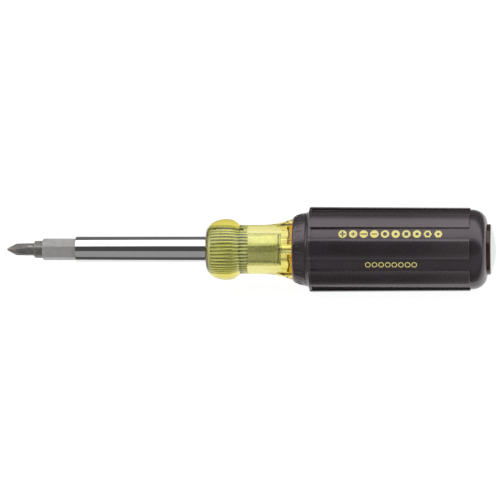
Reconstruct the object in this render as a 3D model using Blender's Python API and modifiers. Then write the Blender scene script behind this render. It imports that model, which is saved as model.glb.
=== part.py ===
"""A ten-in-one screwdriver, lying along the X axis with its working tip towards -X.

A clear handle with a cushioned sleeve holds a reversible shaft tube. Each end of the tube takes a
hexagonal bit holder, each end of a holder takes a bit, and each bit has a tip at both ends.
Z = 0 is the surface that the grip lies on, and X = 0 is the middle of the tool's length.
Lengths are in metres. Along the handle they are measured from its front face towards +X.
"""

import math

import bmesh
import bpy
from mathutils import Euler, Matrix

MM = 0.001
INCH = 25.4 * MM

# Fits: the space left on each side of a piece that sits in another.
SLIDE_GAP = 0.10 * MM
SEAT_GAP = 0.15 * MM
SLEEVE_GAP = 0.30 * MM
STOP_GAP = 0.30 * MM

# Bits: a quarter-inch hexagon with a tip at each end.
BIT_HEX = INCH / 4
BIT_HEX_LENGTH = 13.5 * MM
BIT_CHAMFER = 0.45 * MM
TIP_LENGTH = 10.9 * MM
TIP_ROOT = 1.2 * MM
SHANK_RADIUS = 2.45 * MM
COLLAR_RADIUS = 2.85 * MM
COLLAR_LENGTH = 0.9 * MM
BIT_REACH = 14.5 * MM

# Tip shapes, the larger end of each bit and then the smaller.
CROSS_RADII = (2.35 * MM, 1.95 * MM)
CROSS_HALF_ANGLE = math.radians(26.5)
CROSS_NOSE = 0.45 * MM
CROSS_CORE = 0.62 * MM
CROSS_FLUTE_SLOPE = math.radians(11)
SLOT_WIDTHS = (5.5 * MM, 4.6 * MM)
SLOT_THICKNESS = 0.9 * MM
SLOT_SLOPE = math.radians(16)
STAR_RADII = (1.65 * MM, 1.38 * MM)
STAR_LOBE_SHARE = 0.13
SQUARE_SIDES = (2.85 * MM, 2.3 * MM)
PRISM_LENGTH = 4.4 * MM
PRISM_CONE_LENGTH = 3.0 * MM

# Bit holders: a hexagonal bar with a socket at each end and a solid web between them.
HOLDER_WALL = INCH / 32
HOLDER_CHAMFER = 0.5 * MM
HOLDER_REACH = 13.5 * MM
HOLDER_WEB = 4.0 * MM
WELL_RADIUS = 2.95 * MM

# Shaft tube, with two pressed wings at its middle.
TUBE_WALL = 0.525 * MM
TUBE_LENGTH = 125.0 * MM
TUBE_REACH = 52.7 * MM
TUBE_CHAMFER = 0.3 * MM
TUBE_CORE_MARGIN = 0.25 * MM
WING_HEIGHT = 1.05 * MM
WING_THICKNESS = 0.9 * MM
WING_LENGTH = 10.0 * MM
WING_ANGLE = math.radians(60)
SHAFT_TURN = math.radians(22.5)

# Metal socket insert moulded into the handle, and the spring ring that grips the tube.
INSERT_RECESS = 0.2 * MM
INSERT_COLLAR = 2.8 * MM
INSERT_HEAD_WALL = 1.38 * MM
INSERT_TAIL_WALL = 1.28 * MM
INSERT_TAIL_LENGTH = 13.5 * MM
WING_STOP_WALL = 2.2 * MM
KNURL_DEPTH = 0.3 * MM
KNURL_RELIEF = 0.1 * MM
KNURL_RIBS = 32
WING_SLOT_GAP = 0.2 * MM
RING_WIRE = 0.25 * MM
RING_SWEEP = math.radians(320)

# Detent balls and their springs.
BIT_BALL_RADIUS = 0.8 * MM
HOLDER_BALL_RADIUS = 1.0 * MM
DETENT_GAP = 0.08 * MM
SPRING_LENGTH = 1.9 * MM
SPRING_TURNS = 3.5
SPRING_WIRE_SHARE = 0.16

# Handle core.
NECK_WALL = 3.05 * MM
NECK_LENGTH = 8.4 * MM
BOLSTER_HEIGHT = 2.4 * MM
BOLSTER_FRONT = 8.0 * MM
BOLSTER_LAND = 0.4 * MM
BOLSTER_REAR_RADIUS = 7.0 * MM
FLARE_RADIUS = 34.0 * MM
BODY_HEIGHT = 3.4 * MM
SHOULDER_LENGTH = 2.6 * MM
STUB_RADIUS = 10.2 * MM
STUB_LENGTH = 5.6 * MM
DOME_HEIGHT = 1.9 * MM
DOME_FLAT = 2.5 * MM
END_WALL = 14.4 * MM
BORE_END_GAP = 1.5 * MM
FLUTES = 6
FLUTE_RADIUS = 2.1 * MM
FLUTE_FLOOR = 0.55 * MM
FLUTE_ANGLE = math.radians(37.5)

# Cushion grip, a soft sleeve with raised ribs and sunk panels between them.
GRIP_START = 34.4 * MM
GRIP_MOUTH_WALL = 1.2 * MM
GRIP_WALL = 2.4 * MM
COLLAR_FACE = 0.7 * MM
COLLAR_TAPER = 5.1 * MM
COLLAR_LAND = 1.1 * MM
COLLAR_DROP = 0.9 * MM
RIBS = 8
RIB_FRONT_HEIGHT = 1.1 * MM
RIB_REAR_HEIGHT = 0.7 * MM
RIB_FACE = 0.65 * MM
PANEL_WIDTH = 5.2 * MM
PANEL_START = 0.3 * MM
GRIP_END_ROUND = 6.1 * MM
GRIP_END_LAND = 0.6 * MM
GRIP_STUB_SHOW = 3.3 * MM
KEY_START = 6.2 * MM

ROUND_STEPS = 48
SHAFT_STEPS = 36
SMALL_STEPS = 24
ARC_STEPS = 6

# Sizes that follow from the ones above.
HEX_CORNER = 2 / math.sqrt(3)
BIT_LENGTH = 2 * TIP_LENGTH + BIT_HEX_LENGTH
BIT_DEPTH = BIT_LENGTH - BIT_REACH
SOCKET_HEX = BIT_HEX + 2 * SLIDE_GAP
SOCKET_DEPTH = BIT_DEPTH - TIP_LENGTH + STOP_GAP
HOLDER_HEX = BIT_HEX + 2 * HOLDER_WALL
HOLDER_LENGTH = 2 * (BIT_DEPTH + STOP_GAP) + HOLDER_WEB
HOLDER_DEPTH = HOLDER_LENGTH - HOLDER_REACH
TUBE_HEX = HOLDER_HEX + 2 * SLIDE_GAP
TUBE_RADIUS = TUBE_HEX / 2 * HEX_CORNER + TUBE_WALL
TUBE_CORE_RADIUS = BIT_HEX / 2 * HEX_CORNER + TUBE_CORE_MARGIN
TUBE_MIDDLE = TUBE_LENGTH / 2 - TUBE_REACH
INSERT_BORE = TUBE_RADIUS + SLIDE_GAP
INSERT_HEAD = INSERT_BORE + INSERT_HEAD_WALL
INSERT_TAIL = INSERT_BORE + INSERT_TAIL_WALL
KNURL_RADIUS = INSERT_HEAD - KNURL_RELIEF
WING_SLOT_END = TUBE_MIDDLE + WING_LENGTH / 2 + STOP_GAP
INSERT_HEAD_END = WING_SLOT_END + WING_STOP_WALL
INSERT_END = INSERT_HEAD_END + INSERT_TAIL_LENGTH
RING_PLACE = WING_SLOT_END + WING_STOP_WALL / 2
RING_RADIUS = INSERT_BORE + RING_WIRE + DETENT_GAP
RING_GROOVE = RING_WIRE + 2 * DETENT_GAP
NECK_RADIUS = INSERT_HEAD + SEAT_GAP + NECK_WALL
BOLSTER_RADIUS = NECK_RADIUS + BOLSTER_HEIGHT
BODY_RADIUS = NECK_RADIUS + BODY_HEIGHT
CORE_BORE = TUBE_RADIUS + SLEEVE_GAP
BORE_DEPTH = TUBE_LENGTH - TUBE_REACH + HOLDER_REACH + BIT_REACH + BORE_END_GAP
HANDLE_LENGTH = BORE_DEPTH + END_WALL
STUB_START = HANDLE_LENGTH - STUB_LENGTH
SHOULDER_START = STUB_START - SHOULDER_LENGTH
BOLSTER_REAR_ANGLE = math.acos(1 - BOLSTER_HEIGHT / BOLSTER_REAR_RADIUS)
NECK_START = BOLSTER_FRONT + BOLSTER_LAND + BOLSTER_REAR_RADIUS * math.sin(BOLSTER_REAR_ANGLE)
FLARE_START = NECK_START + NECK_LENGTH
FLARE_END = FLARE_START + math.sqrt(FLARE_RADIUS**2 - (FLARE_RADIUS - BODY_HEIGHT) ** 2)
GRIP_BASE = BODY_RADIUS + SLEEVE_GAP + GRIP_WALL
RIB_START = GRIP_START + COLLAR_FACE + COLLAR_TAPER + COLLAR_LAND
GRIP_END = HANDLE_LENGTH - GRIP_STUB_SHOW
RIB_END = GRIP_END - GRIP_END_ROUND - GRIP_END_LAND
PANEL_FLOOR = math.sqrt(GRIP_BASE**2 - (PANEL_WIDTH / 2) ** 2)
OVERALL_LENGTH = BIT_REACH + HOLDER_REACH + TUBE_REACH + HANDLE_LENGTH
HANDLE_FRONT_X = OVERALL_LENGTH / 2 - HANDLE_LENGTH
AXIS_HEIGHT = math.sqrt((GRIP_BASE + RIB_FRONT_HEIGHT) ** 2 - (PANEL_WIDTH / 2) ** 2)


# ---------------------------------------------------------------- scene and materials


def clear_scene():
    for obj in list(bpy.data.objects):
        bpy.data.objects.remove(obj)


def new_collection(name):
    collection = bpy.data.collections.new(name)
    bpy.context.scene.collection.children.link(collection)
    return collection


def new_material(name, colour, roughness, metallic=0.0, transmission=0.0):
    material = bpy.data.materials.new(name)
    material.use_nodes = True
    shader = material.node_tree.nodes["Principled BSDF"]
    shader.inputs["Base Color"].default_value = (*colour, 1.0)
    shader.inputs["Roughness"].default_value = roughness
    shader.inputs["Metallic"].default_value = metallic
    shader.inputs["Transmission Weight"].default_value = transmission
    return material


def new_frame(name, parent, along, turn=0.0, reverse=False):
    """An empty on the tool's axis. A reversed one has its own +X pointing back along the axis."""
    frame = bpy.data.objects.new(name, None)
    frame.empty_display_size = 5 * MM
    frame.parent = parent
    frame.location = (along, 0.0, 0.0)
    frame.rotation_euler = Euler((turn, 0.0, math.pi if reverse else 0.0))
    PARTS.objects.link(frame)
    return frame


# ---------------------------------------------------------------- shapes


def make_object(name, data, parent):
    """A helper until make_part turns it into a piece: it isn't rendered and isn't a node."""
    obj = bpy.data.objects.new(name, data)
    obj.parent = parent
    obj.hide_render = True
    obj.display_type = "WIRE"
    TOOLS.objects.link(obj)
    return obj


def make_part(obj, name, material):
    TOOLS.objects.unlink(obj)
    PARTS.objects.link(obj)
    obj.name = name
    obj.hide_render = False
    obj.display_type = "TEXTURED"
    obj.data.materials.clear()
    obj.data.materials.append(material)
    return obj


def mesh_from(bm, name):
    mesh = bpy.data.meshes.new(name)
    bmesh.ops.recalc_face_normals(bm, faces=bm.faces)
    if bm.calc_volume(signed=True) < 0:
        bmesh.ops.reverse_faces(bm, faces=bm.faces)
    bm.to_mesh(mesh)
    bm.free()
    mesh.shade_smooth()
    mesh.set_sharp_from_angle(angle=math.radians(30))
    return mesh


def turned(name, outline, parent, steps=SHAFT_STEPS):
    """The outline, a list of (along, radius) from front to rear, turned about the X axis."""
    bm = bmesh.new()
    points = [bm.verts.new((along, 0.0, radius)) for along, radius in reversed(outline)]
    for first, second in zip(points, points[1:]):
        bm.edges.new((first, second))
    if outline[0][1] > 0:
        bm.edges.new((points[-1], points[0]))
    mesh = bpy.data.meshes.new(name)
    bm.to_mesh(mesh)
    bm.free()
    obj = make_object(name, mesh, parent)
    screw = obj.modifiers.new("turn", "SCREW")
    screw.axis = "X"
    screw.steps = steps
    screw.render_steps = steps
    screw.use_merge_vertices = True
    screw.merge_threshold = 0.002 * MM
    screw.use_smooth_shade = True
    return obj


def bar(name, sides, radius, start, end, parent, end_radius=None):
    """A prism or cylinder along X, with a corner at +Y."""
    bm = bmesh.new()
    tip_radius = radius if end_radius is None else end_radius
    bmesh.ops.create_cone(
        bm, cap_ends=True, segments=sides, radius1=radius, radius2=tip_radius, depth=end - start
    )
    lay_along_x = Matrix.Rotation(math.pi / 2, 4, "X") @ Matrix.Rotation(math.pi / 2, 4, "Y")
    corner_at_y = Matrix.Rotation(math.pi / 2 - first_corner(bm, lay_along_x), 4, "X")
    middle = Matrix.Translation(((start + end) / 2, 0.0, 0.0))
    bm.transform(middle @ corner_at_y @ lay_along_x)
    return make_object(name, mesh_from(bm, name), parent)


def first_corner(bm, matrix):
    """The angle from +Z to a corner of the prism, once matrix has laid it along X."""
    bm.verts.ensure_lookup_table()
    corner = matrix @ bm.verts[0].co
    return math.atan2(-corner.y, corner.z)


def block(name, size, centre, parent, turn=0.0, tilt=0.0):
    """A box about centre, tilted about Y in place and then turned about the X axis."""
    bm = bmesh.new()
    bmesh.ops.create_cube(bm, size=1.0)
    bm.transform(
        Matrix.Rotation(turn, 4, "X")
        @ Matrix.Translation(centre)
        @ Matrix.Rotation(tilt, 4, "Y")
        @ Matrix.Diagonal((*size, 1.0))
    )
    return make_object(name, mesh_from(bm, name), parent)


def outline_prism(name, points, start, end, parent):
    """A flat outline of (y, z) points, made a prism from start to end along X."""
    curve = bpy.data.curves.new(name, "CURVE")
    curve.dimensions = "2D"
    curve.fill_mode = "BOTH"
    curve.extrude = (end - start) / 2
    spline = curve.splines.new("POLY")
    spline.points.add(len(points) - 1)
    for point, (y, z) in zip(spline.points, points):
        point.co = (y, z, 0.0, 1.0)
    spline.use_cyclic_u = True
    flat = make_object(name + "_outline", curve, None)
    bpy.context.view_layer.update()
    mesh = bpy.data.meshes.new_from_object(
        flat.evaluated_get(bpy.context.evaluated_depsgraph_get())
    )
    bpy.data.objects.remove(flat)
    bm = bmesh.new()
    bm.from_mesh(mesh)
    bmesh.ops.remove_doubles(bm, verts=bm.verts, dist=0.002 * MM)
    stand = Matrix.Rotation(math.pi / 2, 4, "Z") @ Matrix.Rotation(math.pi / 2, 4, "X")
    bm.transform(Matrix.Translation(((start + end) / 2, 0.0, 0.0)) @ stand)
    return make_object(name, mesh_from(bm, name), parent)


def wire(name, points, radius, sides_level, parent):
    """A round wire along a list of points, with flat ends."""
    curve = bpy.data.curves.new(name, "CURVE")
    curve.dimensions = "3D"
    curve.bevel_depth = radius
    curve.bevel_resolution = sides_level
    curve.use_fill_caps = True
    spline = curve.splines.new("POLY")
    spline.points.add(len(points) - 1)
    for point, co in zip(spline.points, points):
        point.co = (*co, 1.0)
    return make_object(name, curve, parent)


def combine(target, tool, operation):
    modifier = target.modifiers.new(tool.name, "BOOLEAN")
    modifier.operation = operation
    modifier.solver = "EXACT"
    modifier.object = tool
    return target


def cut(target, *tools):
    for tool in tools:
        combine(target, tool, "DIFFERENCE")
    return target


def join(target, *others):
    for other in others:
        combine(target, other, "UNION")
    return target


def round_corner(start, end, steps=ARC_STEPS):
    """A quarter ellipse that leaves start along the radius and reaches end along the axis."""
    (x0, r0), (x1, r1) = start, end
    return [
        (x1 - (x1 - x0) * math.cos(angle), r0 + (r1 - r0) * math.sin(angle))
        for angle in (math.pi / 2 * i / steps for i in range(steps + 1))
    ]


def fall_away(start, end, steps=ARC_STEPS):
    """A quarter ellipse that leaves start along the axis and reaches end along the radius."""
    return [(x, r) for x, r in reversed(round_corner(end, start, steps))]


# ---------------------------------------------------------------- bits


def shank_outline(start, start_radius, cone_end):
    """The turned part of a tip, from its own nose to a root inside the hexagon."""
    return [
        (start, 0.0),
        (start, start_radius),
        (cone_end, SHANK_RADIUS),
        (TIP_LENGTH - COLLAR_LENGTH, SHANK_RADIUS),
        (TIP_LENGTH + TIP_ROOT, COLLAR_RADIUS),
        (TIP_LENGTH + TIP_ROOT, 0.0),
    ]


def cross_tip(name, size, parent):
    radius = CROSS_RADII[size]
    cone = (radius - CROSS_NOSE) / math.tan(CROSS_HALF_ANGLE)
    outline = shank_outline(0.0, CROSS_NOSE, TIP_LENGTH - 2 * COLLAR_LENGTH)
    outline.insert(2, (cone, radius))
    tip = turned(name, outline, parent, SMALL_STEPS)
    side = 2 * SHANK_RADIUS
    for i in range(4):
        flute = block(
            f"{name}_flute_{i}",
            (2 * TIP_LENGTH, side, side),
            (0.0, 0.0, 0.0),
            parent,
        )
        corner_down = Matrix.Rotation(math.pi / 4, 4, "X")
        lift = Matrix.Translation((0.0, 0.0, CROSS_CORE + side / math.sqrt(2)))
        climb = Matrix.Rotation(-CROSS_FLUTE_SLOPE, 4, "Y")
        around = Matrix.Rotation(math.radians(15 + 90 * i), 4, "X")
        to_nose = Matrix.Translation((0.0, 0.0, CROSS_CORE))
        from_nose = Matrix.Translation((0.0, 0.0, -CROSS_CORE))
        flute.data.transform(around @ to_nose @ climb @ from_nose @ lift @ corner_down)
        cut(tip, flute)
    return tip


def slot_tip(name, size, parent):
    half_width = SLOT_WIDTHS[size] / 2
    ground = (half_width - SLOT_THICKNESS / 2) / math.tan(SLOT_SLOPE)
    outline = shank_outline(0.0, half_width, TIP_LENGTH - 2 * COLLAR_LENGTH)
    outline.insert(2, (ground * 0.75, half_width))
    tip = turned(name, outline, parent, SMALL_STEPS)
    for i, side in enumerate((1, -1)):
        size_of_stone = 4 * half_width
        stone = block(
            f"{name}_ground_{i}",
            (3 * TIP_LENGTH, size_of_stone, size_of_stone),
            (0.0, 0.0, 0.0),
            parent,
        )
        lift = Matrix.Translation((0.0, 0.0, size_of_stone / 2))
        climb = Matrix.Rotation(-SLOT_SLOPE, 4, "Y")
        thickness = Matrix.Translation((0.0, 0.0, SLOT_THICKNESS / 2))
        over = Matrix.Rotation(0.0 if side == 1 else math.pi, 4, "X")
        stone.data.transform(over @ thickness @ climb @ lift)
        cut(tip, stone)
    return tip


def star_tip(name, size, parent):
    radius = STAR_RADII[size]
    mean = radius * (1 - STAR_LOBE_SHARE)
    lobes, points_per_lobe = 6, 6
    count = lobes * points_per_lobe
    points = []
    for i in range(count):
        angle = 2 * math.pi * i / count
        reach = mean + radius * STAR_LOBE_SHARE * math.cos(lobes * angle)
        points.append((reach * math.cos(angle), reach * math.sin(angle)))
    star = outline_prism(f"{name}_star", points, 0.0, PRISM_LENGTH, parent)
    return prism_tip(name, star, mean, parent)


def square_tip(name, size, parent):
    side = SQUARE_SIDES[size]
    square = bar(f"{name}_square", 4, side / math.sqrt(2), 0.0, PRISM_LENGTH, parent)
    return prism_tip(name, square, side / 2, parent)


def prism_tip(name, prism, cone_radius, parent):
    """A straight prism that grows out of a conical shank."""
    cone_start = PRISM_LENGTH - TIP_ROOT
    outline = shank_outline(cone_start, cone_radius * 0.9, cone_start + PRISM_CONE_LENGTH)
    return join(turned(name, outline, parent, SMALL_STEPS), prism)


def make_bit(name, tip, frame):
    """One double-ended bit. Its frame's X runs in from the tip that is nearer the frame."""
    hexagon = bar(name, 6, BIT_HEX / 2 * HEX_CORNER, TIP_LENGTH, TIP_LENGTH + BIT_HEX_LENGTH, frame)
    chamfer = hexagon.modifiers.new("chamfer", "BEVEL")
    chamfer.width = BIT_CHAMFER
    chamfer.segments = 1
    chamfer.limit_method = "ANGLE"
    chamfer.angle_limit = math.radians(70)
    far_end = new_frame(f"{name}_far_end", frame, BIT_LENGTH, reverse=True)
    join(hexagon, tip(f"{name}_tip_large", 0, frame), tip(f"{name}_tip_small", 1, far_end))
    add_detent(hexagon, name, BIT_LENGTH / 2, BIT_HEX / 2, BIT_BALL_RADIUS, frame)
    return make_part(hexagon, name, STEEL_DARK)


def add_detent(host, name, along, face, ball_radius, frame):
    """A blind hole from the flat at -Z, with a ball just under the flat and a spring below it."""
    hole_radius = ball_radius + DETENT_GAP
    ball_depth = ball_radius + DETENT_GAP
    spring_top = 2 * ball_radius + 2 * DETENT_GAP
    hole_depth = spring_top + SPRING_LENGTH + 2 * DETENT_GAP
    drill = bar(f"{name}_drill", SMALL_STEPS, hole_radius, 0.0, hole_depth + face, frame)
    stand_up = Matrix.Rotation(-math.pi / 2, 4, "Y")
    drill.data.transform(Matrix.Translation((along, 0.0, -2 * face)) @ stand_up)
    cut(host, drill)
    bm = bmesh.new()
    bmesh.ops.create_uvsphere(bm, u_segments=12, v_segments=8, radius=ball_radius)
    bm.transform(Matrix.Translation((along, 0.0, ball_depth - face)))
    ball = make_object(f"{name}_ball", mesh_from(bm, f"{name}_ball"), frame)
    make_part(ball, f"{name}_ball", STEEL_SPRING)
    wire_radius = ball_radius * SPRING_WIRE_SHARE
    coil_radius = ball_radius - wire_radius - DETENT_GAP
    steps = round(SPRING_TURNS * 8)
    points = []
    for i in range(steps + 1):
        angle = 2 * math.pi * SPRING_TURNS * i / steps
        depth = spring_top + wire_radius + (SPRING_LENGTH - 2 * wire_radius) * i / steps
        points.append((along + coil_radius * math.cos(angle), coil_radius * math.sin(angle), depth - face))
    spring = wire(f"{name}_spring", points, wire_radius, 1, frame)
    make_part(spring, f"{name}_spring", STEEL_SPRING)


# ---------------------------------------------------------------- holders and tube


def make_holder(name, frame):
    """A double-ended bit holder. Its frame's X runs in from the mouth that is nearer the frame."""
    body = bar(name, 6, HOLDER_HEX / 2 * HEX_CORNER, 0.0, HOLDER_LENGTH, frame)
    chamfer = body.modifiers.new("chamfer", "BEVEL")
    chamfer.width = HOLDER_CHAMFER
    chamfer.segments = 1
    chamfer.limit_method = "ANGLE"
    chamfer.angle_limit = math.radians(70)
    far_end = new_frame(f"{name}_far_end", frame, HOLDER_LENGTH, reverse=True)
    for label, end in (("near", frame), ("far", far_end)):
        socket = bar(
            f"{name}_{label}_socket", 6, SOCKET_HEX / 2 * HEX_CORNER, -HOLDER_WEB, SOCKET_DEPTH, end
        )
        well = bar(
            f"{name}_{label}_well", SMALL_STEPS, WELL_RADIUS, -HOLDER_WEB, BIT_DEPTH + STOP_GAP, end
        )
        cut(body, socket, well)
    add_detent(body, name, HOLDER_LENGTH / 2, HOLDER_HEX / 2, HOLDER_BALL_RADIUS, frame)
    return make_part(body, name, STEEL_SATIN)


def make_tube(frame):
    edge = TUBE_RADIUS - TUBE_CHAMFER
    tube = turned(
        "shaft_tube",
        [
            (0.0, 0.0),
            (0.0, edge),
            (TUBE_CHAMFER, TUBE_RADIUS),
            (TUBE_LENGTH - TUBE_CHAMFER, TUBE_RADIUS),
            (TUBE_LENGTH, edge),
            (TUBE_LENGTH, 0.0),
        ],
        frame,
    )
    for i in range(2):
        radial = TUBE_WALL + WING_HEIGHT
        wing = block(
            f"wing_{i}",
            (WING_LENGTH, radial, WING_THICKNESS),
            (TUBE_LENGTH / 2, TUBE_RADIUS + WING_HEIGHT - radial / 2, 0.0),
            frame,
            turn=WING_ANGLE + math.pi * i,
        )
        join(tube, wing)
    core = bar("tube_core", SMALL_STEPS, TUBE_CORE_RADIUS, -TUBE_WALL, TUBE_LENGTH + TUBE_WALL, frame)
    cut(tube, core)
    depth = HOLDER_DEPTH + STOP_GAP
    ends = ((-TUBE_WALL, depth), (TUBE_LENGTH - depth, TUBE_LENGTH + TUBE_WALL))
    for i, (start, end) in enumerate(ends):
        cut(tube, bar(f"tube_socket_{i}", 6, TUBE_HEX / 2 * HEX_CORNER, start, end, frame))
    return make_part(tube, "shaft_tube", CHROME)


# ---------------------------------------------------------------- handle


def knurled_sleeve(name, sections, parent):
    """A closed loop of sections along X, each (along, radius of the ribs, radius between them)."""
    bm = bmesh.new()
    count = 2 * KNURL_RIBS
    rings = []
    for along, *radii in sections:
        ring = []
        for i in range(count):
            angle = math.pi * i / KNURL_RIBS
            y, z = radii[i % 2] * math.cos(angle), radii[i % 2] * math.sin(angle)
            ring.append(bm.verts.new((along, y, z)))
        rings.append(ring)
    for first, second in zip(rings, rings[1:] + rings[:1]):
        for i in range(count):
            j = (i + 1) % count
            bm.faces.new((first[i], first[j], second[j], second[i]))
    return make_object(name, mesh_from(bm, name), parent)


def make_insert(frame):
    """The metal socket that the tube's wings lock into."""
    knurl_start = INSERT_RECESS + INSERT_COLLAR
    groove = RING_RADIUS + RING_GROOVE
    profile = [
        (INSERT_RECESS, INSERT_HEAD, INSERT_HEAD),
        (knurl_start, INSERT_HEAD, INSERT_HEAD),
        (knurl_start, KNURL_RADIUS, KNURL_RADIUS - KNURL_DEPTH),
        (INSERT_HEAD_END, KNURL_RADIUS, KNURL_RADIUS - KNURL_DEPTH),
        (INSERT_HEAD_END, INSERT_TAIL, INSERT_TAIL),
        (INSERT_END, INSERT_TAIL, INSERT_TAIL),
        (INSERT_END, INSERT_BORE, INSERT_BORE),
        (RING_PLACE + RING_GROOVE, INSERT_BORE, INSERT_BORE),
        (RING_PLACE + RING_GROOVE, groove, groove),
        (RING_PLACE - RING_GROOVE, groove, groove),
        (RING_PLACE - RING_GROOVE, INSERT_BORE, INSERT_BORE),
        (INSERT_RECESS, INSERT_BORE, INSERT_BORE),
    ]
    insert = knurled_sleeve("socket_insert", profile, frame)
    slot_length = WING_SLOT_END + INSERT_COLLAR
    for i in range(2):
        slot = block(
            f"wing_slot_{i}",
            (slot_length, 2 * (INSERT_HEAD_WALL + TUBE_WALL), WING_THICKNESS + 2 * WING_SLOT_GAP),
            (WING_SLOT_END - slot_length / 2, INSERT_HEAD, 0.0),
            frame,
            turn=WING_ANGLE + math.pi * i,
        )
        cut(insert, slot)
    return make_part(insert, "socket_insert", STEEL_SATIN)


def make_ring(frame):
    steps = SHAFT_STEPS
    points = []
    for i in range(steps + 1):
        angle = RING_SWEEP * i / steps
        points.append((RING_PLACE, RING_RADIUS * math.cos(angle), RING_RADIUS * math.sin(angle)))
    ring = wire("shaft_retaining_ring", points, RING_WIRE, 2, frame)
    return make_part(ring, "shaft_retaining_ring", STEEL_SPRING)


def flare_radius(along):
    """The core's radius where it swells from the neck to the body."""
    run = min(max(along - FLARE_START, 0.0), FLARE_END - FLARE_START)
    return NECK_RADIUS + FLARE_RADIUS - math.sqrt(FLARE_RADIUS**2 - run**2)


def flare_points(start, gap=0.0):
    places = [start + (FLARE_END - start) * i / ARC_STEPS for i in range(ARC_STEPS + 1)]
    return [(along, flare_radius(along) + gap) for along in places]


def shoulder_points(gap=0.0):
    return fall_away((SHOULDER_START, BODY_RADIUS + gap), (STUB_START + gap, STUB_RADIUS + gap))


def core_outline():
    front = INSERT_HEAD + SEAT_GAP
    outline = [(0.0, 0.0)]
    outline += round_corner((0.0, front), (BOLSTER_FRONT, BOLSTER_RADIUS), 2 * ARC_STEPS)
    for i in range(ARC_STEPS + 1):
        angle = BOLSTER_REAR_ANGLE * i / ARC_STEPS
        along = BOLSTER_FRONT + BOLSTER_LAND + BOLSTER_REAR_RADIUS * math.sin(angle)
        drop = BOLSTER_REAR_RADIUS * (1 - math.cos(angle))
        outline.append((along, BOLSTER_RADIUS - drop))
    outline += flare_points(FLARE_START)
    outline += shoulder_points()
    for i in range(ARC_STEPS + 1):
        radius = STUB_RADIUS + (DOME_FLAT - STUB_RADIUS) * i / ARC_STEPS
        share = (radius**2 - DOME_FLAT**2) / (STUB_RADIUS**2 - DOME_FLAT**2)
        outline.append((HANDLE_LENGTH - DOME_HEIGHT * share, radius))
    outline.append((HANDLE_LENGTH, 0.0))
    return outline


def make_core(frame):
    """The clear handle, bored for the insert and the shaft, with flutes that key the grip."""
    core = turned("handle_core", core_outline(), frame, ROUND_STEPS)
    front, tail = INSERT_HEAD + SEAT_GAP, INSERT_TAIL + SEAT_GAP
    cavity = turned(
        "core_cavity",
        [
            (-BOLSTER_HEIGHT, 0.0),
            (-BOLSTER_HEIGHT, front),
            (INSERT_HEAD_END + SEAT_GAP, front),
            (INSERT_HEAD_END + SEAT_GAP, tail),
            (INSERT_END + SEAT_GAP, tail),
            (INSERT_END + SEAT_GAP, CORE_BORE),
            (BORE_DEPTH, CORE_BORE),
            (BORE_DEPTH, 0.0),
        ],
        frame,
        ROUND_STEPS,
    )
    cut(core, cavity)
    for i in range(FLUTES):
        end = HANDLE_LENGTH - STUB_LENGTH / 2
        cut(core, flute_rod(f"flute_{i}", i, FLUTE_RADIUS, FLARE_START, end, frame))
    return make_part(core, "handle_core", ACETATE)


def flute_rod(name, index, radius, start, end, frame):
    rod = bar(name, SMALL_STEPS // 2, radius, start, end, frame)
    angle = FLUTE_ANGLE + 2 * math.pi * index / FLUTES
    out = NECK_RADIUS + FLUTE_FLOOR + FLUTE_RADIUS
    rod.data.transform(Matrix.Rotation(angle, 4, "X") @ Matrix.Translation((0.0, out, 0.0)))
    return rod


def grip_outline():
    """A closed loop: out along the sleeve's own surface and back along the core's."""
    mouth = flare_radius(GRIP_START) + SLEEVE_GAP
    collar_radius = GRIP_BASE - COLLAR_DROP
    outer = [
        (GRIP_START + COLLAR_FACE, mouth + GRIP_MOUTH_WALL),
        (GRIP_START + COLLAR_FACE + COLLAR_TAPER, collar_radius),
        (RIB_START, collar_radius),
        (RIB_START + RIB_FACE, GRIP_BASE + RIB_FRONT_HEIGHT),
        (RIB_END, GRIP_BASE + RIB_REAR_HEIGHT),
        (RIB_END, GRIP_BASE),
    ]
    opening = STUB_RADIUS + SLEEVE_GAP
    outer += fall_away((GRIP_END - GRIP_END_ROUND, GRIP_BASE), (GRIP_END, opening))
    inner = flare_points(GRIP_START, SLEEVE_GAP) + shoulder_points(SLEEVE_GAP)
    return outer + list(reversed(inner))


def make_grip(frame):
    grip = turned("cushion_grip", grip_outline(), frame, ROUND_STEPS)
    panel_start = RIB_START + PANEL_START
    panel_length = HANDLE_LENGTH - panel_start
    panel_depth = 4 * RIB_FRONT_HEIGHT
    for i in range(RIBS):
        panel = block(
            f"panel_{i}",
            (panel_length, panel_depth, PANEL_WIDTH),
            (panel_start + panel_length / 2, PANEL_FLOOR + panel_depth / 2, 0.0),
            frame,
            turn=2 * math.pi * i / RIBS,
        )
        cut(grip, panel)
    for i in range(FLUTES):
        key = flute_rod(
            f"grip_key_{i}", i, FLUTE_RADIUS - SLEEVE_GAP, GRIP_START + KEY_START, SHOULDER_START, frame
        )
        join(grip, key)
    return make_part(grip, "cushion_grip", RUBBER)


# ---------------------------------------------------------------- assembly

clear_scene()
PARTS = new_collection("multi_bit_screwdriver")
TOOLS = new_collection("cutters")
TOOLS.hide_render = True

ACETATE = new_material("clear_yellow_acetate", (0.80, 0.76, 0.16), 0.08, transmission=0.9)
RUBBER = new_material("black_cushion", (0.030, 0.028, 0.030), 0.45)
CHROME = new_material("polished_chrome", (0.80, 0.80, 0.82), 0.06, metallic=1.0)
STEEL_SATIN = new_material("satin_steel", (0.52, 0.52, 0.52), 0.32, metallic=1.0)
STEEL_DARK = new_material("dark_bit_steel", (0.24, 0.23, 0.22), 0.38, metallic=1.0)
STEEL_SPRING = new_material("spring_steel", (0.45, 0.45, 0.47), 0.25, metallic=1.0)

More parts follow.
